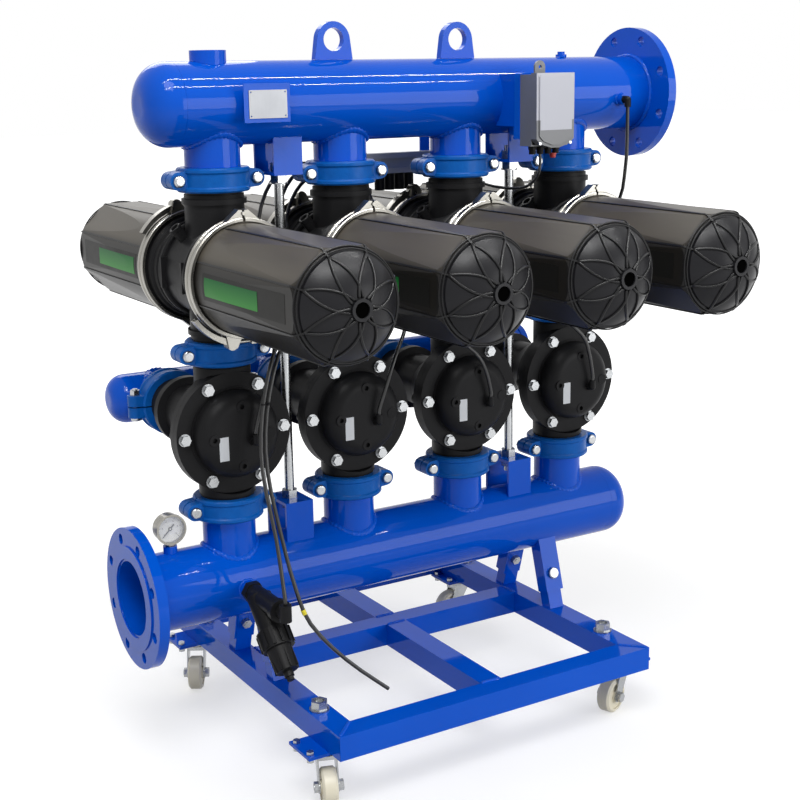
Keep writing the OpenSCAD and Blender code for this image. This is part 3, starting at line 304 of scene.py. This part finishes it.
def moulded(name, deep, light, rough, grain, gloss=0.5):
    """Moulded plastic or rubber: fine grain, cloudy colour, scuffs."""
    b = Bench(name)
    cloud = b.noise(9.0, 3.0)
    fine = b.noise(420.0, 2.0)
    scuff = b.noise(60.0, 6.0, 0.65)
    colour = b.mix(cloud, (*deep, 1), (*light, 1))
    return b.done(Base_Color=colour, Roughness=rough + (scuff - 0.5) * 0.16, Specular_IOR_Level=gloss,
                  Normal=b.bump(fine + scuff * 0.5, grain))


def cover_plastic():
    """Black filled plastic: flow marks along the barrel, a painted sheen of lighter brown on the upper flats
    where light falls from above, painted shade in the hubs' bores, a cooler dome.
    """
    b = Bench("filter_cover_black")
    cloud = b.noise(7.0, 3.0)
    flow = b.noise(16.0, 4.0, 0.6, b.stretch((1, 0.12, 1)))
    fine = b.noise(520.0, 2.0)
    up = b.axis("Z") - FILTER_Z * MM
    # Painted sheen: the upper flats, from 30 to 56 mm over the axis, are mixed toward a lighter brown, broken
    # up by the flow marks, for the light that falls on them from above.
    dust_and_sheen = b.node("ShaderNodeMapRange", {"interpolation_type": "SMOOTHSTEP"},
                  inputs={"Value": up, "From Min": 0.030, "From Max": 0.056})
    tint = b.mix(cloud, (0.0125, 0.0115, 0.0100, 1), (0.0180, 0.0162, 0.0140, 1))
    tint = b.mix(dust_and_sheen * (0.55 + flow * 0.8), tint, (0.094, 0.083, 0.066, 1))
    reach = b.node("ShaderNodeMath", {"operation": "ABSOLUTE"}, inputs={0: b.axis("Y")})
    dome = b.node("ShaderNodeMapRange", inputs={"Value": reach, "From Min": 0.505, "From Max": 0.520})
    tint = b.mix(dome, tint, (0.0135, 0.0135, 0.0155, 1))
    side = b.node("ShaderNodeMath", {"operation": "WRAP"},      # distance from the nearest column
                  inputs={0: b.axis("X") - FIRST * MM, 1: PITCH / 2 * MM, 2: -PITCH / 2 * MM})
    # Painted shade: the hub's bore, within 13.4 mm of its axis, is coloured near black for the shade inside
    # the deep recess.
    hub = (side * side + up * up < 0.0134 ** 2) * (reach > 0.54)
    tint = b.mix(hub, tint, (0.003, 0.003, 0.003, 1))
    return b.done(Base_Color=tint, Roughness=0.34 + (flow - 0.5) * 0.16, Specular_IOR_Level=0.14,
                  Normal=b.bump(fine + flow, 0.05))


def bare_metal(name, deep, light, rough, grain=(1, 1, 1), grain_scale=90.0, strength=0.05):
    """Plated or brushed metal, its streaks stretched by the grain."""
    b = Bench(name)
    cloud = b.noise(22.0, 4.0)
    streak = b.noise(grain_scale, 3.0, 0.6, b.stretch(grain))
    colour = b.mix(cloud, (*deep, 1), (*light, 1))
    return b.done(Base_Color=colour, Metallic=1.0, Roughness=rough + (streak - 0.5) * 0.22,
                  Normal=b.bump(streak, strength))


def green_film():
    """Printed film, deep green at the top edge and lighter below."""
    b = Bench("label_green")
    up = (b.axis("Z") - FILTER_Z * MM) / 0.034 + 0.5
    speck = b.noise(300.0)
    tint = b.mix(up, (0.060, 0.300, 0.062, 1), (0.004, 0.125, 0.026, 1))
    return b.done(Base_Color=tint, Roughness=0.40 + (speck - 0.5) * 0.1, Specular_IOR_Level=0.08)


def two_tone_case():
    """Controller front: white lid over a grey foot, with the lid's notched lower corners."""
    low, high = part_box("controller_cover")
    b = Bench("controller_front")
    side = b.axis("X") - (low[0] + high[0]) / 2
    edge = b.node("ShaderNodeMath", {"operation": "ABSOLUTE"}, inputs={0: side})
    up = b.axis("Z") - low[2]
    front = b.axis("Y") < low[1] + 0.0045
    lid = (up > 0.036) * (1 - (edge > 0.040) * (up < 0.056)) * front
    grain = b.noise(600.0, 2.0)
    cloud = b.noise(12.0)
    grey = b.mix(cloud, (0.135, 0.140, 0.150, 1), (0.165, 0.170, 0.180, 1))
    white = b.mix(cloud, (0.41, 0.42, 0.475, 1), (0.445, 0.455, 0.51, 1))
    return b.done(Base_Color=b.mix(lid, grey, white), Roughness=0.42 + (grain - 0.5) * 0.12,
                  Normal=b.bump(grain, 0.06))


def glass():
    b = Bench("gauge_glass")
    film = b.noise(30.0)
    return b.done(Base_Color=(0.95, 0.97, 0.98, 1), Roughness=0.02 + film * 0.03, Alpha=0.14)


FINISH = {
    "blue": gloss_paint("royal_blue_gloss", (0.0005, 0.074, 0.52), (0.0008, 0.096, 0.63), 0.035, 0.012),
    "weld": gloss_paint("royal_blue_weld", (0.0005, 0.074, 0.52), (0.004, 0.105, 0.66), 0.12, 0.85, 190.0),
    "coupling": cast_paint("casting_blue", (0.002, 0.080, 0.35), (0.004, 0.126, 0.49)),
    "cover": cover_plastic(),
    "rib": moulded("cover_rib_black", (0.0060, 0.0060, 0.0066), (0.0100, 0.0100, 0.0108), 0.38, 0.05, 0.22),
    "black": moulded("valve_black", (0.0085, 0.0085, 0.0092), (0.0150, 0.0150, 0.0160), 0.42, 0.10, 0.08),
    "tube": moulded("tube_black", (0.006, 0.006, 0.0065), (0.012, 0.012, 0.0125), 0.30, 0.04),
    "rubber": moulded("seal_rubber", (0.006, 0.006, 0.006), (0.012, 0.012, 0.012), 0.6, 0.2),
    "zinc": bare_metal("zinc_plate", (0.32, 0.33, 0.34), (0.46, 0.47, 0.48), 0.28),
    "stainless": bare_metal("clamp_stainless", (0.24, 0.23, 0.205), (0.38, 0.37, 0.34), 0.30,
                            (1, 12, 1), 40.0),
    "cream": moulded("wheel_nylon", (0.74, 0.69, 0.54), (0.82, 0.77, 0.62), 0.42, 0.08),
    "red": moulded("disc_red", (0.42, 0.02, 0.012), (0.5, 0.03, 0.02), 0.4, 0.1),
    "grey": moulded("controller_grey", (0.135, 0.140, 0.150), (0.165, 0.170, 0.180), 0.42, 0.12),
    "rail": moulded("rail_grey", (0.42, 0.43, 0.44), (0.52, 0.53, 0.54), 0.40, 0.10),
    "white": moulded("dial_white", (0.74, 0.74, 0.73), (0.80, 0.80, 0.79), 0.36, 0.06),
    "front": two_tone_case(),
    "plate": bare_metal("plate_silver", (0.20, 0.207, 0.22), (0.25, 0.257, 0.27), 0.42,
                        (14, 1, 1), 30.0, 0.03),
    "label_black": moulded("label_black", (0.0090, 0.0088, 0.0080), (0.0130, 0.0125, 0.0110), 0.42, 0.03,
                           0.10),
    "label_green": green_film(),
    # Painted shade: near black, for the floor of the hubs' deep bores.
    "hole": moulded("hub_bore_painted_shade", (0.0010, 0.0010, 0.0010), (0.0018, 0.0018, 0.0018), 0.85, 0.04, 0.0),
    "label_white": moulded("label_white", (0.52, 0.54, 0.57), (0.58, 0.60, 0.63), 0.45, 0.04),
    "ink": moulded("dial_ink", (0.006, 0.006, 0.007), (0.012, 0.012, 0.013), 0.5, 0.04),
    "yellow": moulded("band_yellow", (0.72, 0.60, 0.02), (0.82, 0.70, 0.04), 0.42, 0.06),
    "glass": glass(),
}

NODES_BY_FINISH = {
    "blue": "base_frame inlet_pipe outlet_pipe drain_pipe pipe_flanges branch_stubs lifting_lugs "
            "pipe_brackets",
    "coupling": "coupling_shells",
    "zinc": "caster_plates frame_bolts tie_rods coupling_bolts valve_bolts",
    "rubber": "rubber_seals",
    "black": "valve_bodies valve_bonnets filter_bodies filter_spines side_filter_body side_filter_bowl "
             "controller_glands pilot_solenoids tube_fittings",
    "cover": "filter_covers",
    "red": "disc_stacks",
    "stainless": "clamp_bands gauge_case",
    "white": "gauge_dial",
    "glass": "gauge_lens",
    "tube": "gauge_pointer",
    "grey": "valve_plungers controller_base",
    "front": "controller_cover",
    "plate": "rating_plate",
    "rail": "pilot_rail",
}
NODE_FINISH = {node: finish for finish, nodes in NODES_BY_FINISH.items() for node in nodes.split()}
FAMILY_FINISH = {"caster_fork": "zinc", "caster_wheel": "cream", "clamp_lever": "stainless", "tube_": "tube",
                 "cable_": "tube"}


def finish_of(node):
    """Finish by a node's own name, or by the family that its name starts with."""
    if node in NODE_FINISH:
        return NODE_FINISH[node]
    return next(finish for start, finish in FAMILY_FINISH.items() if node.startswith(start))


for node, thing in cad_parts.items():
    thing.data.materials.clear()
    thing.data.materials.append(FINISH[finish_of(node)])
for piece in tubes.values():
    piece.data.materials.append(FINISH["tube"])


# Small pieces

def keep(name, mesh, finish):
    """Turn a bmesh drawn in millimetres into a piece that rides the station."""
    bmesh.ops.scale(mesh, vec=(MM, MM, MM), verts=mesh.verts)
    bmesh.ops.remove_doubles(mesh, verts=mesh.verts, dist=1e-7)
    bmesh.ops.recalc_face_normals(mesh, faces=mesh.faces)
    data = bpy.data.meshes.new(name)
    mesh.to_mesh(data)
    mesh.free()
    data.materials.append(FINISH[finish])
    thing = add_object(name, data)
    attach(thing, BODY)


def join(target, source, turn=Matrix.Identity(3), move=(0, 0, 0)):
    """Add a bmesh to another one, turned and moved."""
    bmesh.ops.transform(source, matrix=Matrix.Translation(move) @ turn.to_4x4(), verts=source.verts)
    spare = bpy.data.meshes.new("spare")
    source.to_mesh(spare)
    source.free()
    target.from_mesh(spare)
    bpy.data.meshes.remove(spare)


def turned(outline, steps=32):
    """Spin an outline of (radius, height) round Z."""
    mesh = bmesh.new()
    points = [mesh.verts.new((r, 0, h)) for r, h in outline]
    for a, b in zip(points, points[1:]):
        mesh.edges.new((a, b))
    bmesh.ops.spin(mesh, geom=mesh.verts[:] + mesh.edges[:], cent=(0, 0, 0), axis=(0, 0, 1),
                   angle=2 * math.pi, steps=steps, use_merge=True)
    bmesh.ops.remove_doubles(mesh, verts=mesh.verts, dist=1e-5)
    return mesh


def slab(size, edge, cuts=2):
    """A plate with rounded edges, centred."""
    mesh = bmesh.new()
    bmesh.ops.create_cube(mesh, size=1)
    bmesh.ops.scale(mesh, vec=size, verts=mesh.verts)
    bmesh.ops.bevel(mesh, geom=mesh.edges[:], offset=edge, segments=cuts, profile=0.5, affect="EDGES",
                    material=-1)
    return mesh


def soften(mesh):
    for f in mesh.faces:
        f.smooth = True


def face_along(sheet, axis):
    """Turn the faces of an open sheet so that on the whole they look along an axis."""
    bmesh.ops.recalc_face_normals(sheet, faces=sheet.faces)
    if sum(f.normal.dot(Vector(axis)) for f in sheet.faces) < 0:
        bmesh.ops.reverse_faces(sheet, faces=sheet.faces)


def weld_ring(radius, thick, waves, steps=120):
    """A bead round Z that swells and thins in waves."""
    mesh = bmesh.new()
    bmesh.ops.create_circle(mesh, cap_ends=False, segments=8, radius=thick)
    bmesh.ops.rotate(mesh, verts=mesh.verts, cent=(0, 0, 0), matrix=Matrix.Rotation(math.pi / 2, 3, "X"))
    bmesh.ops.translate(mesh, verts=mesh.verts, vec=(radius, 0, 0))
    bmesh.ops.spin(mesh, geom=mesh.verts[:] + mesh.edges[:], cent=(0, 0, 0), axis=(0, 0, 1),
                   angle=2 * math.pi, steps=steps, use_merge=True)
    for v in mesh.verts:
        a = math.atan2(v.co.y, v.co.x)
        heart = Vector((radius * math.cos(a), radius * math.sin(a), 0))
        v.co = heart + (v.co - heart) * (1 + 0.22 * math.sin(waves * a) + 0.12 * math.sin(5 * a + 1))
    soften(mesh)
    return mesh


def saddle_weld(branch, pipe):
    """Weld where a branch along Z meets a pipe along X."""
    mesh = weld_ring(branch + 1.2, 4.6, 38)
    for v in mesh.verts:
        v.co.z += math.sqrt(max(pipe * pipe - v.co.y * v.co.y, 0))
    return mesh


FACE_FRONT = Matrix.Rotation(math.pi / 2, 3, "X")       # Z of a drawing looks to the front
FACE_UP = Matrix.Identity(3)
FACE_DOWN = Matrix.Rotation(math.pi, 3, "X")
FACE_RIGHT = Matrix.Rotation(math.pi / 2, 3, "Y")
FACE_BACK = Matrix.Rotation(math.pi, 3, "Z") @ FACE_FRONT
QUARTER_TURN = Matrix.Rotation(math.pi / 2, 3, "Z")
COVERS = [(x, look) for x in COLUMNS for look in (FACE_FRONT, FACE_BACK)]


def on_axis(x, look, reach):
    """Point on a cover's axis, by its distance from the filter's middle."""
    return Vector((x, 0, FILTER_Z)) + look @ Vector((0, 0, reach))


def make_welds():
    """Beads round the stubs, the pipe flanges and the two small sockets."""
    mesh = bmesh.new()
    for x in COLUMNS:
        join(mesh, saddle_weld(STUB_R, MANIFOLD_R), FACE_UP, (x, 0, INLET_Z))
        join(mesh, saddle_weld(STUB_R, MANIFOLD_R), FACE_DOWN, (x, 0, OUTLET_Z))
        join(mesh, saddle_weld(STUB_R, STUB_R), FACE_FRONT, (x, DRAIN_Y, VALVE_Z))
    for x, z in ((-LENGTH / 2 + FLANGE_T, INLET_Z), (LENGTH / 2 - FLANGE_T, OUTLET_Z)):
        join(mesh, weld_ring(MANIFOLD_R + 1.5, 5.2, 52), FACE_RIGHT, (x, 0, z))
    for x, z, r in ((FIRST, INLET_Z, 18), (FIRST + 944, OUTLET_Z - 13, 12)):
        ring = weld_ring(r + 0.5, 2.4, 22, 60)
        for v in ring.verts:
            v.co.z += math.sqrt(MANIFOLD_R ** 2 - v.co.y ** 2)
        join(mesh, ring, FACE_FRONT, (x, 0, z))
    keep("weld_beads", mesh, "weld")


def bar_weld(length, thick, waves):
    """A straight bead along X."""
    mesh = bmesh.new()
    bmesh.ops.create_circle(mesh, cap_ends=True, segments=8, radius=thick)
    bmesh.ops.rotate(mesh, verts=mesh.verts, cent=(0, 0, 0), matrix=Matrix.Rotation(math.pi / 2, 3, "Y"))
    bmesh.ops.translate(mesh, verts=mesh.verts, vec=(-length / 2, 0, 0))
    face = mesh.faces[:]
    count = 3 * waves
    for k in range(count):
        out = bmesh.ops.extrude_face_region(mesh, geom=face)
        new = [g for g in out["geom"] if isinstance(g, bmesh.types.BMVert)]
        bmesh.ops.translate(mesh, verts=new, vec=(length / count, 0, 0))
        if k:
            bmesh.ops.delete(mesh, geom=face, context="FACES")
        face = [g for g in out["geom"] if isinstance(g, bmesh.types.BMFace)]
    for v in mesh.verts:
        s = 1 + 0.2 * math.sin(2 * math.pi * waves * (v.co.x / length + 0.5))
        s *= 0.35 if abs(v.co.x) > length / 2 - 0.5 else 1
        v.co.y *= s
        v.co.z *= s
    soften(mesh)
    return mesh


def make_frame_welds():
    """Beads on the mitres and at the ends of the inner tubes."""
    mesh = bmesh.new()
    half = FRAME_TUBE / 2
    for sx, x in ((1, FRAME_LEFT), (-1, FRAME_RIGHT)):
        for sy, y in ((1, -FRAME_HALF), (-1, FRAME_HALF)):
            turn = Matrix.Rotation(math.radians(45 * sx * sy), 3, "Z")
            join(mesh, bar_weld(62, FRAME_BEAD, 16), turn, (x + sx * half, y + sy * half, FRAME_TOP))
    for x in (FRAME_LEFT + FRAME_TUBE, FRAME_RIGHT - FRAME_TUBE):
        join(mesh, bar_weld(46, FRAME_BEAD, 12), QUARTER_TURN, (x, FRAME_CROSS, FRAME_TOP))
    for y in (FRAME_TUBE - FRAME_HALF, FRAME_CROSS - half, FRAME_CROSS + half, FRAME_HALF - FRAME_TUBE):
        join(mesh, bar_weld(46, FRAME_BEAD, 12), FACE_UP, (FRAME_MIDDLE, y, FRAME_TOP))
    keep("frame_weld_beads", mesh, "weld")


def cover_skin(along, up, lift):
    """Point on the left side of a cover, by distance from the joint and height from its axis."""
    apothem = (COVER_R + 11 - 10 * along / (COVER_SHOULDER + 9)) * math.cos(math.radians(22.5))
    return -min(math.sqrt(COVER_R ** 2 - up ** 2), apothem) - lift


def wrapped_label(start, end, half, thick):
    """A film laid on the left side of a front cover, as a thin sheet with its own thickness."""
    mesh = bmesh.new()
    bmesh.ops.create_grid(mesh, x_segments=28, y_segments=8, size=1)
    for v in mesh.verts:
        along = start + (v.co.x + 1) / 2 * (end - start)
        up = v.co.y * half
        v.co = (cover_skin(along, up, 0.05), -COVER_START - along, up)
    face_along(mesh, (-1, 0, 0))
    bmesh.ops.solidify(mesh, geom=mesh.faces[:], thickness=-thick)
    return mesh


def make_cover_labels():
    """Bare black panels with a plain green band, on the left of the covers."""
    panel, band = bmesh.new(), bmesh.new()
    for x in COLUMNS:
        for flip in (FACE_UP, FACE_DOWN):
            join(panel, wrapped_label(46, 366, 25, 0.35), flip, (x, 0, FILTER_Z))
            join(band, wrapped_label(56, 268, 17, 0.75), flip, (x, 0, FILTER_Z))
    keep("cover_label_panels", panel, "label_black")
    keep("cover_label_bands", band, "label_green")


def arc_through(tip, wide, foot):
    """Centre and radius of the circle through three points of a plan."""
    (ax, ay), (bx, by), (cx, cy) = tip, wide, foot
    d = 2 * (ax * (by - cy) + bx * (cy - ay) + cx * (ay - by))
    a, b, c = ax * ax + ay * ay, bx * bx + by * by, cx * cx + cy * cy
    mid = Vector(((a * (by - cy) + b * (cy - ay) + c * (ay - by)) / d,
                  (a * (cx - bx) + b * (ax - cx) + c * (bx - ax)) / d))
    return mid, (Vector(tip) - mid).length


def petal_rib(side):
    """One curved rib standing on the domed end, in the plan of a cover that looks along Z."""
    tip = (DOME_R + 0.5, 0.0)
    mid, radius = arc_through(tip, PETAL_WIDE, PETAL_FOOT)
    first, last = (math.atan2(p[1] - mid.y, p[0] - mid.x) for p in (tip, PETAL_FOOT))
    mesh = bmesh.new()
    bmesh.ops.create_grid(mesh, x_segments=20, y_segments=4, size=1)
    for v in mesh.verts:
        a = first + (v.co.x + 1) / 2 * (last - first)
        across = v.co.y
        reach = radius + across * RIB_W / 2
        x, y = mid.x + reach * math.cos(a), mid.y + reach * math.sin(a)
        stand = RIB_H * (1 - across ** 4) - RIB_SUNK
        v.co = (x, side * y, math.sqrt(DOME_BALL ** 2 - x * x - y * y) + stand)
    face_along(mesh, (0, 0, 1))
    bmesh.ops.solidify(mesh, geom=mesh.faces[:], thickness=0.9)
    soften(mesh)
    return mesh


def edge_seam():
    """Seam along one corner of a cover, over the stepped shoulder to the petal's tip."""
    path = [(105.9, 10), (105.9, 200), (105.9, 384), (104.6, 391), (101.6, 395.5), (97.5, 398.6),
            (94.6, 401.0), (DOME_R + 1.5, 404.0), (DOME_R - 2.0, 405.5)]
    mesh = bmesh.new()
    line = [mesh.verts.new((r, -SEAM_W / 2, h)) for r, h in path]
    edges = [mesh.edges.new(pair) for pair in zip(line, line[1:])]
    out = bmesh.ops.extrude_edge_only(mesh, edges=edges)
    far = [g for g in out["geom"] if isinstance(g, bmesh.types.BMVert)]
    bmesh.ops.translate(mesh, verts=far, vec=(0, SEAM_W, 0))
    face_along(mesh, (1, 0, 0))
    bmesh.ops.solidify(mesh, geom=mesh.faces[:], thickness=2.4)
    bmesh.ops.translate(mesh, verts=mesh.verts, vec=(1.0, 0, 0))
    return mesh


def make_petal_ribs():
    """Corner seams, shoulder steps and petal ribs of the covers."""
    mesh = bmesh.new()
    for x, look in COVERS:
        corners = [look @ Matrix.Rotation(math.radians(22.5 + 45 * k), 3, "Z") for k in range(8)]
        for corner in corners:
            join(mesh, edge_seam(), corner, on_axis(x, look, COVER_START))
        for radius, height in ((99.6, 396.4), (95.6, 400.0)):
            join(mesh, weld_ring(radius, 1.5, 0, 96), look, on_axis(x, look, COVER_START + height))
        for corner in corners:
            for side in (-1, 1):
                join(mesh, petal_rib(side), corner, on_axis(x, look, COVER_REACH - DOME_C))
    keep("petal_ribs", mesh, "rib")


def make_hub_holes():
    """Near-black disc on the floor of the bore in each hub: painted shade of the deep recess."""
    mesh = bmesh.new()
    for x, look in COVERS:
        floor = turned([(0, 0), (HUB_BORE_R, 0), (HUB_BORE_R, 0.6), (0, 0.6)])
        join(mesh, floor, look, on_axis(x, look, HUB_FLOOR))
    keep("hub_bore_shade_discs", mesh, "hole")


def make_bonnet_labels():
    """Bare white labels on the valve bonnets."""
    mesh = bmesh.new()
    for x in COLUMNS:
        join(mesh, slab((20, 48, 0.5), 0.2, 1), FACE_FRONT, (x - 41, -87.2, VALVE_Z - 20))
    keep("valve_labels", mesh, "label_white")


def make_plugs():
    """Threaded drain plugs on the shoulders of the filter bodies."""
    mesh = bmesh.new()
    lean = Matrix.Rotation(math.radians(-41), 3, "Y")
    for x in COLUMNS:
        plug = turned([(0, 4), (7, 4), (8, 14), (9.6, 15), (11.6, 15), (12.4, 14), (12.4, 8), (11.6, 7),
                       (11.6, -18), (0, -18)])
        join(mesh, plug, lean, (x - 68, 18, FILTER_Z + 78))
    keep("body_plugs", mesh, "black")


def make_body_collars():
    """Ringed collars of the filter bodies, between the neck and the clamps."""
    mesh = bmesh.new()
    outline = [(89, 50), (95, 51), (98, 55), (98, 63), (95.5, 65), (95.5, 71), (98, 73), (98, 85), (95.5, 87),
               (95.5, 93), (101, 96), (103, 104), (89, 104), (89, 50)]
    for x, look in COVERS:
        join(mesh, turned(outline, 72), look, (x, 0, FILTER_Z))
    keep("body_collars", mesh, "black")


def dial_figure(number):
    """A figure of the dial as a thin solid."""
    words = bpy.data.curves.new("figure", "FONT")
    words.body = str(number)
    words.size = 5.4
    words.align_x, words.align_y = "CENTER", "CENTER"
    thing = add_object("figure", words)
    flat = bpy.data.meshes.new_from_object(thing.evaluated_get(bpy.context.evaluated_depsgraph_get()))
    bpy.data.objects.remove(thing)
    bpy.data.curves.remove(words)
    figure = bmesh.new()
    figure.from_mesh(flat)
    bpy.data.meshes.remove(flat)
    bmesh.ops.solidify(figure, geom=figure.faces[:], thickness=0.15)
    return figure


def on_dial(angle, radius):
    x, y, z = GAUGE
    return x + radius * math.cos(angle), y - DIAL_FACE, z + radius * math.sin(angle)


def make_gauge_marks():
    """Marks and the figures 0 to 10 on three quarters of the dial."""
    mesh = bmesh.new()
    for k in range(51):
        a = math.radians(225 - 270 * k / 50)
        long, wide = (5, 0.9) if k % 10 == 0 else (3.4, 0.6) if k % 5 == 0 else (2.2, 0.35)
        spin = FACE_FRONT @ Matrix.Rotation(a - math.pi / 2, 3, "Z")
        join(mesh, slab((wide, long, 0.2), 0.05, 1), spin, on_dial(a, DIAL_R - long / 2))
    for k in range(6):
        join(mesh, dial_figure(2 * k), FACE_FRONT, on_dial(math.radians(225 - 54 * k), FIGURE_R))
    keep("gauge_marks", mesh, "ink")


def make_controller_trim():
    """Cover screws and the red cap on one cable gland."""
    low, high = (Vector(c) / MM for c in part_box("controller_cover"))
    screws = bmesh.new()
    for x in (low.x + 9, high.x - 9):
        for z in (low.z + 9, high.z - 9):
            head = turned([(0, 0.5), (0.9, 0.5), (0.9, 1.4), (3.0, 1.3), (3.6, 0.6), (3.6, -1.0),
                           (0, -1.0)], 16)
            join(screws, head, FACE_FRONT, (x, low.y + 3.2, z))
    keep("controller_screws", screws, "zinc")
    cap = turned([(0, -9), (5.2, -9), (6.0, -8), (6.6, -2), (7.8, -1.6), (7.8, 1), (0, 1)], 24)
    glands = [Vector(c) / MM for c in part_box("controller_glands")]
    whole = bmesh.new()
    join(whole, cap, FACE_UP, (high.x - 25, (glands[0].y + glands[1].y) / 2, glands[0].z))
    keep("gland_cap", whole, "red")


def ring_on_route(node, share, radius, length, wall):
    """A sleeve round a tube at a share of its route."""
    route = spline_through(ROUTES[node], 6)
    k = int(share * (len(route) - 2)) + 1
    heading = (route[k + 1] - route[k - 1]).normalized()
    half, outer = length / 2, radius + wall
    sleeve = turned([(radius, -half), (outer, -half + 0.3), (outer, half - 0.3), (radius, half),
                     (radius, -half)], 20)
    return sleeve, heading.to_track_quat("Z", "Y").to_matrix(), route[k] / MM


def make_ties():
    """Yellow band on the drain tube, and two ties that hold it to the side filter's tube."""
    sleeve_r = 4.1
    band = bmesh.new()
    join(band, *ring_on_route("tube_drain", 0.145, sleeve_r, 11, 0.7))
    keep("yellow_band", band, "yellow")
    ties = bmesh.new()
    tie_wall = 1.1
    tie_r = sleeve_r + tie_wall
    other = spline_through(ROUTES["tube_side_filter"], 6)
    for share in (0.385, 0.46):
        tie, turn, spot = ring_on_route("tube_drain", share, sleeve_r, 4, tie_wall)
        near = min(other, key=lambda p: (p / MM - spot).length) / MM
        mid, reach = (spot + near) / 2, (near - spot).length
        side = (near - spot).normalized()
        heading = turn.col[2].normalized()
        up = heading.cross(side).normalized()
        basis = Matrix((side, up, heading)).transposed()
        bmesh.ops.scale(tie, vec=((reach / 2 + tie_r) / tie_r, 1.06, 1), verts=tie.verts)
        join(ties, tie, basis, mid)
        join(ties, slab((5, 6, 5), 0.6, 2), basis, mid + up * 7.2)
    keep("tube_ties", ties, "black")


make_welds()
make_frame_welds()
make_cover_labels()
make_petal_ribs()
make_hub_holes()
make_bonnet_labels()
make_plugs()
make_body_collars()
make_gauge_marks()
make_controller_trim()
make_ties()


# Floor and light

SEEN_RAYS = ("Is Camera Ray", "Is Glossy Ray", "Is Transmission Ray")
ROOM_LIGHT = 0.42       # the room's light on the object, 1 where it is seen or mirrored
LAMPS = {               # place, aim, size and power
    "key_light": ((-1.8, -2.6, 4.8), (0, 0, 0.8), (2.4, 2.0), 150),
    "fill_light": ((2.4, -3.8, 1.5), (0, 0, 0.6), (2.6, 2.2), 84),
    "back_light": ((0.5, 3.6, 3.8), (0, 0, 0.9), (2.4, 2.4), 70),
    "strip_near": ((0.0, -1.9, 3.4), (0, 0, 1.2), (4.0, 0.08), 100),
    "strip_far": ((0.0, -0.8, 3.6), (0, 0, 1.2), (4.0, 0.08), 100),
}


def lay_floor():
    """Pale floor that turns white away from the object and keeps its shadow."""
    mesh = bmesh.new()
    bmesh.ops.create_grid(mesh, x_segments=1, y_segments=1, size=30)
    data = bpy.data.meshes.new("floor")
    mesh.to_mesh(data)
    mesh.free()
    floor = add_object("floor", data)
    b = Bench("pale_floor")
    camera, glossy, through = (b.node("ShaderNodeLightPath", out=ray) for ray in SEEN_RAYS)
    far = b.node("ShaderNodeVectorMath", {"operation": "LENGTH"}, out="Value", inputs={0: b.place})
    away = b.node("ShaderNodeMapRange", {"interpolation_type": "SMOOTHSTEP"},
                  inputs={"Value": far, "From Min": 0.9, "From Max": 2.6})
    glow = b.mix(away, (0.56, 0.56, 0.56, 1), (1, 1, 1, 1))
    b.done(Base_Color=b.mix(b.noise(3.0), (0.46, 0.46, 0.46, 1), (0.50, 0.50, 0.50, 1)), Roughness=0.9,
           Emission_Color=b.mix(camera + glossy + through, (0, 0, 0, 1), glow), Emission_Strength=1.0)
    data.materials.append(b.material)


def light_room():
    world = bpy.data.worlds.new("soft_room")
    scene.world = world
    world.use_nodes = True
    tree = world.node_tree
    path = tree.nodes.new("ShaderNodeLightPath")
    seen = path.outputs[SEEN_RAYS[0]]
    for ray in SEEN_RAYS[1:]:
        either = tree.nodes.new("ShaderNodeMath")
        either.operation = "MAXIMUM"
        tree.links.new(seen, either.inputs[0])
        tree.links.new(path.outputs[ray], either.inputs[1])
        seen = either.outputs[0]
    strength = tree.nodes.new("ShaderNodeMapRange")
    strength.inputs["To Min"].default_value = ROOM_LIGHT
    strength.inputs["To Max"].default_value = 1.0
    tree.links.new(seen, strength.inputs["Value"])
    tree.links.new(strength.outputs[0], tree.nodes["Background"].inputs["Strength"])
    tree.nodes["Background"].inputs["Color"].default_value = (1, 1, 1, 1)


def hang_lamps():
    for name, (spot, aim, size, power) in LAMPS.items():
        lamp = bpy.data.lights.new(name, "AREA")
        lamp.shape = "RECTANGLE"
        lamp.energy = power
        lamp.size, lamp.size_y = size
        thing = add_object(name, lamp)
        thing.location = spot
        thing.rotation_euler = (Vector(aim) - Vector(spot)).to_track_quat("-Z", "Y").to_euler()
        thing.visible_diffuse = not name.startswith("strip")  # the strips only draw streaks on gloss paint


lay_floor()
light_room()
hang_lamps()
scene.view_settings.view_transform = "Standard"
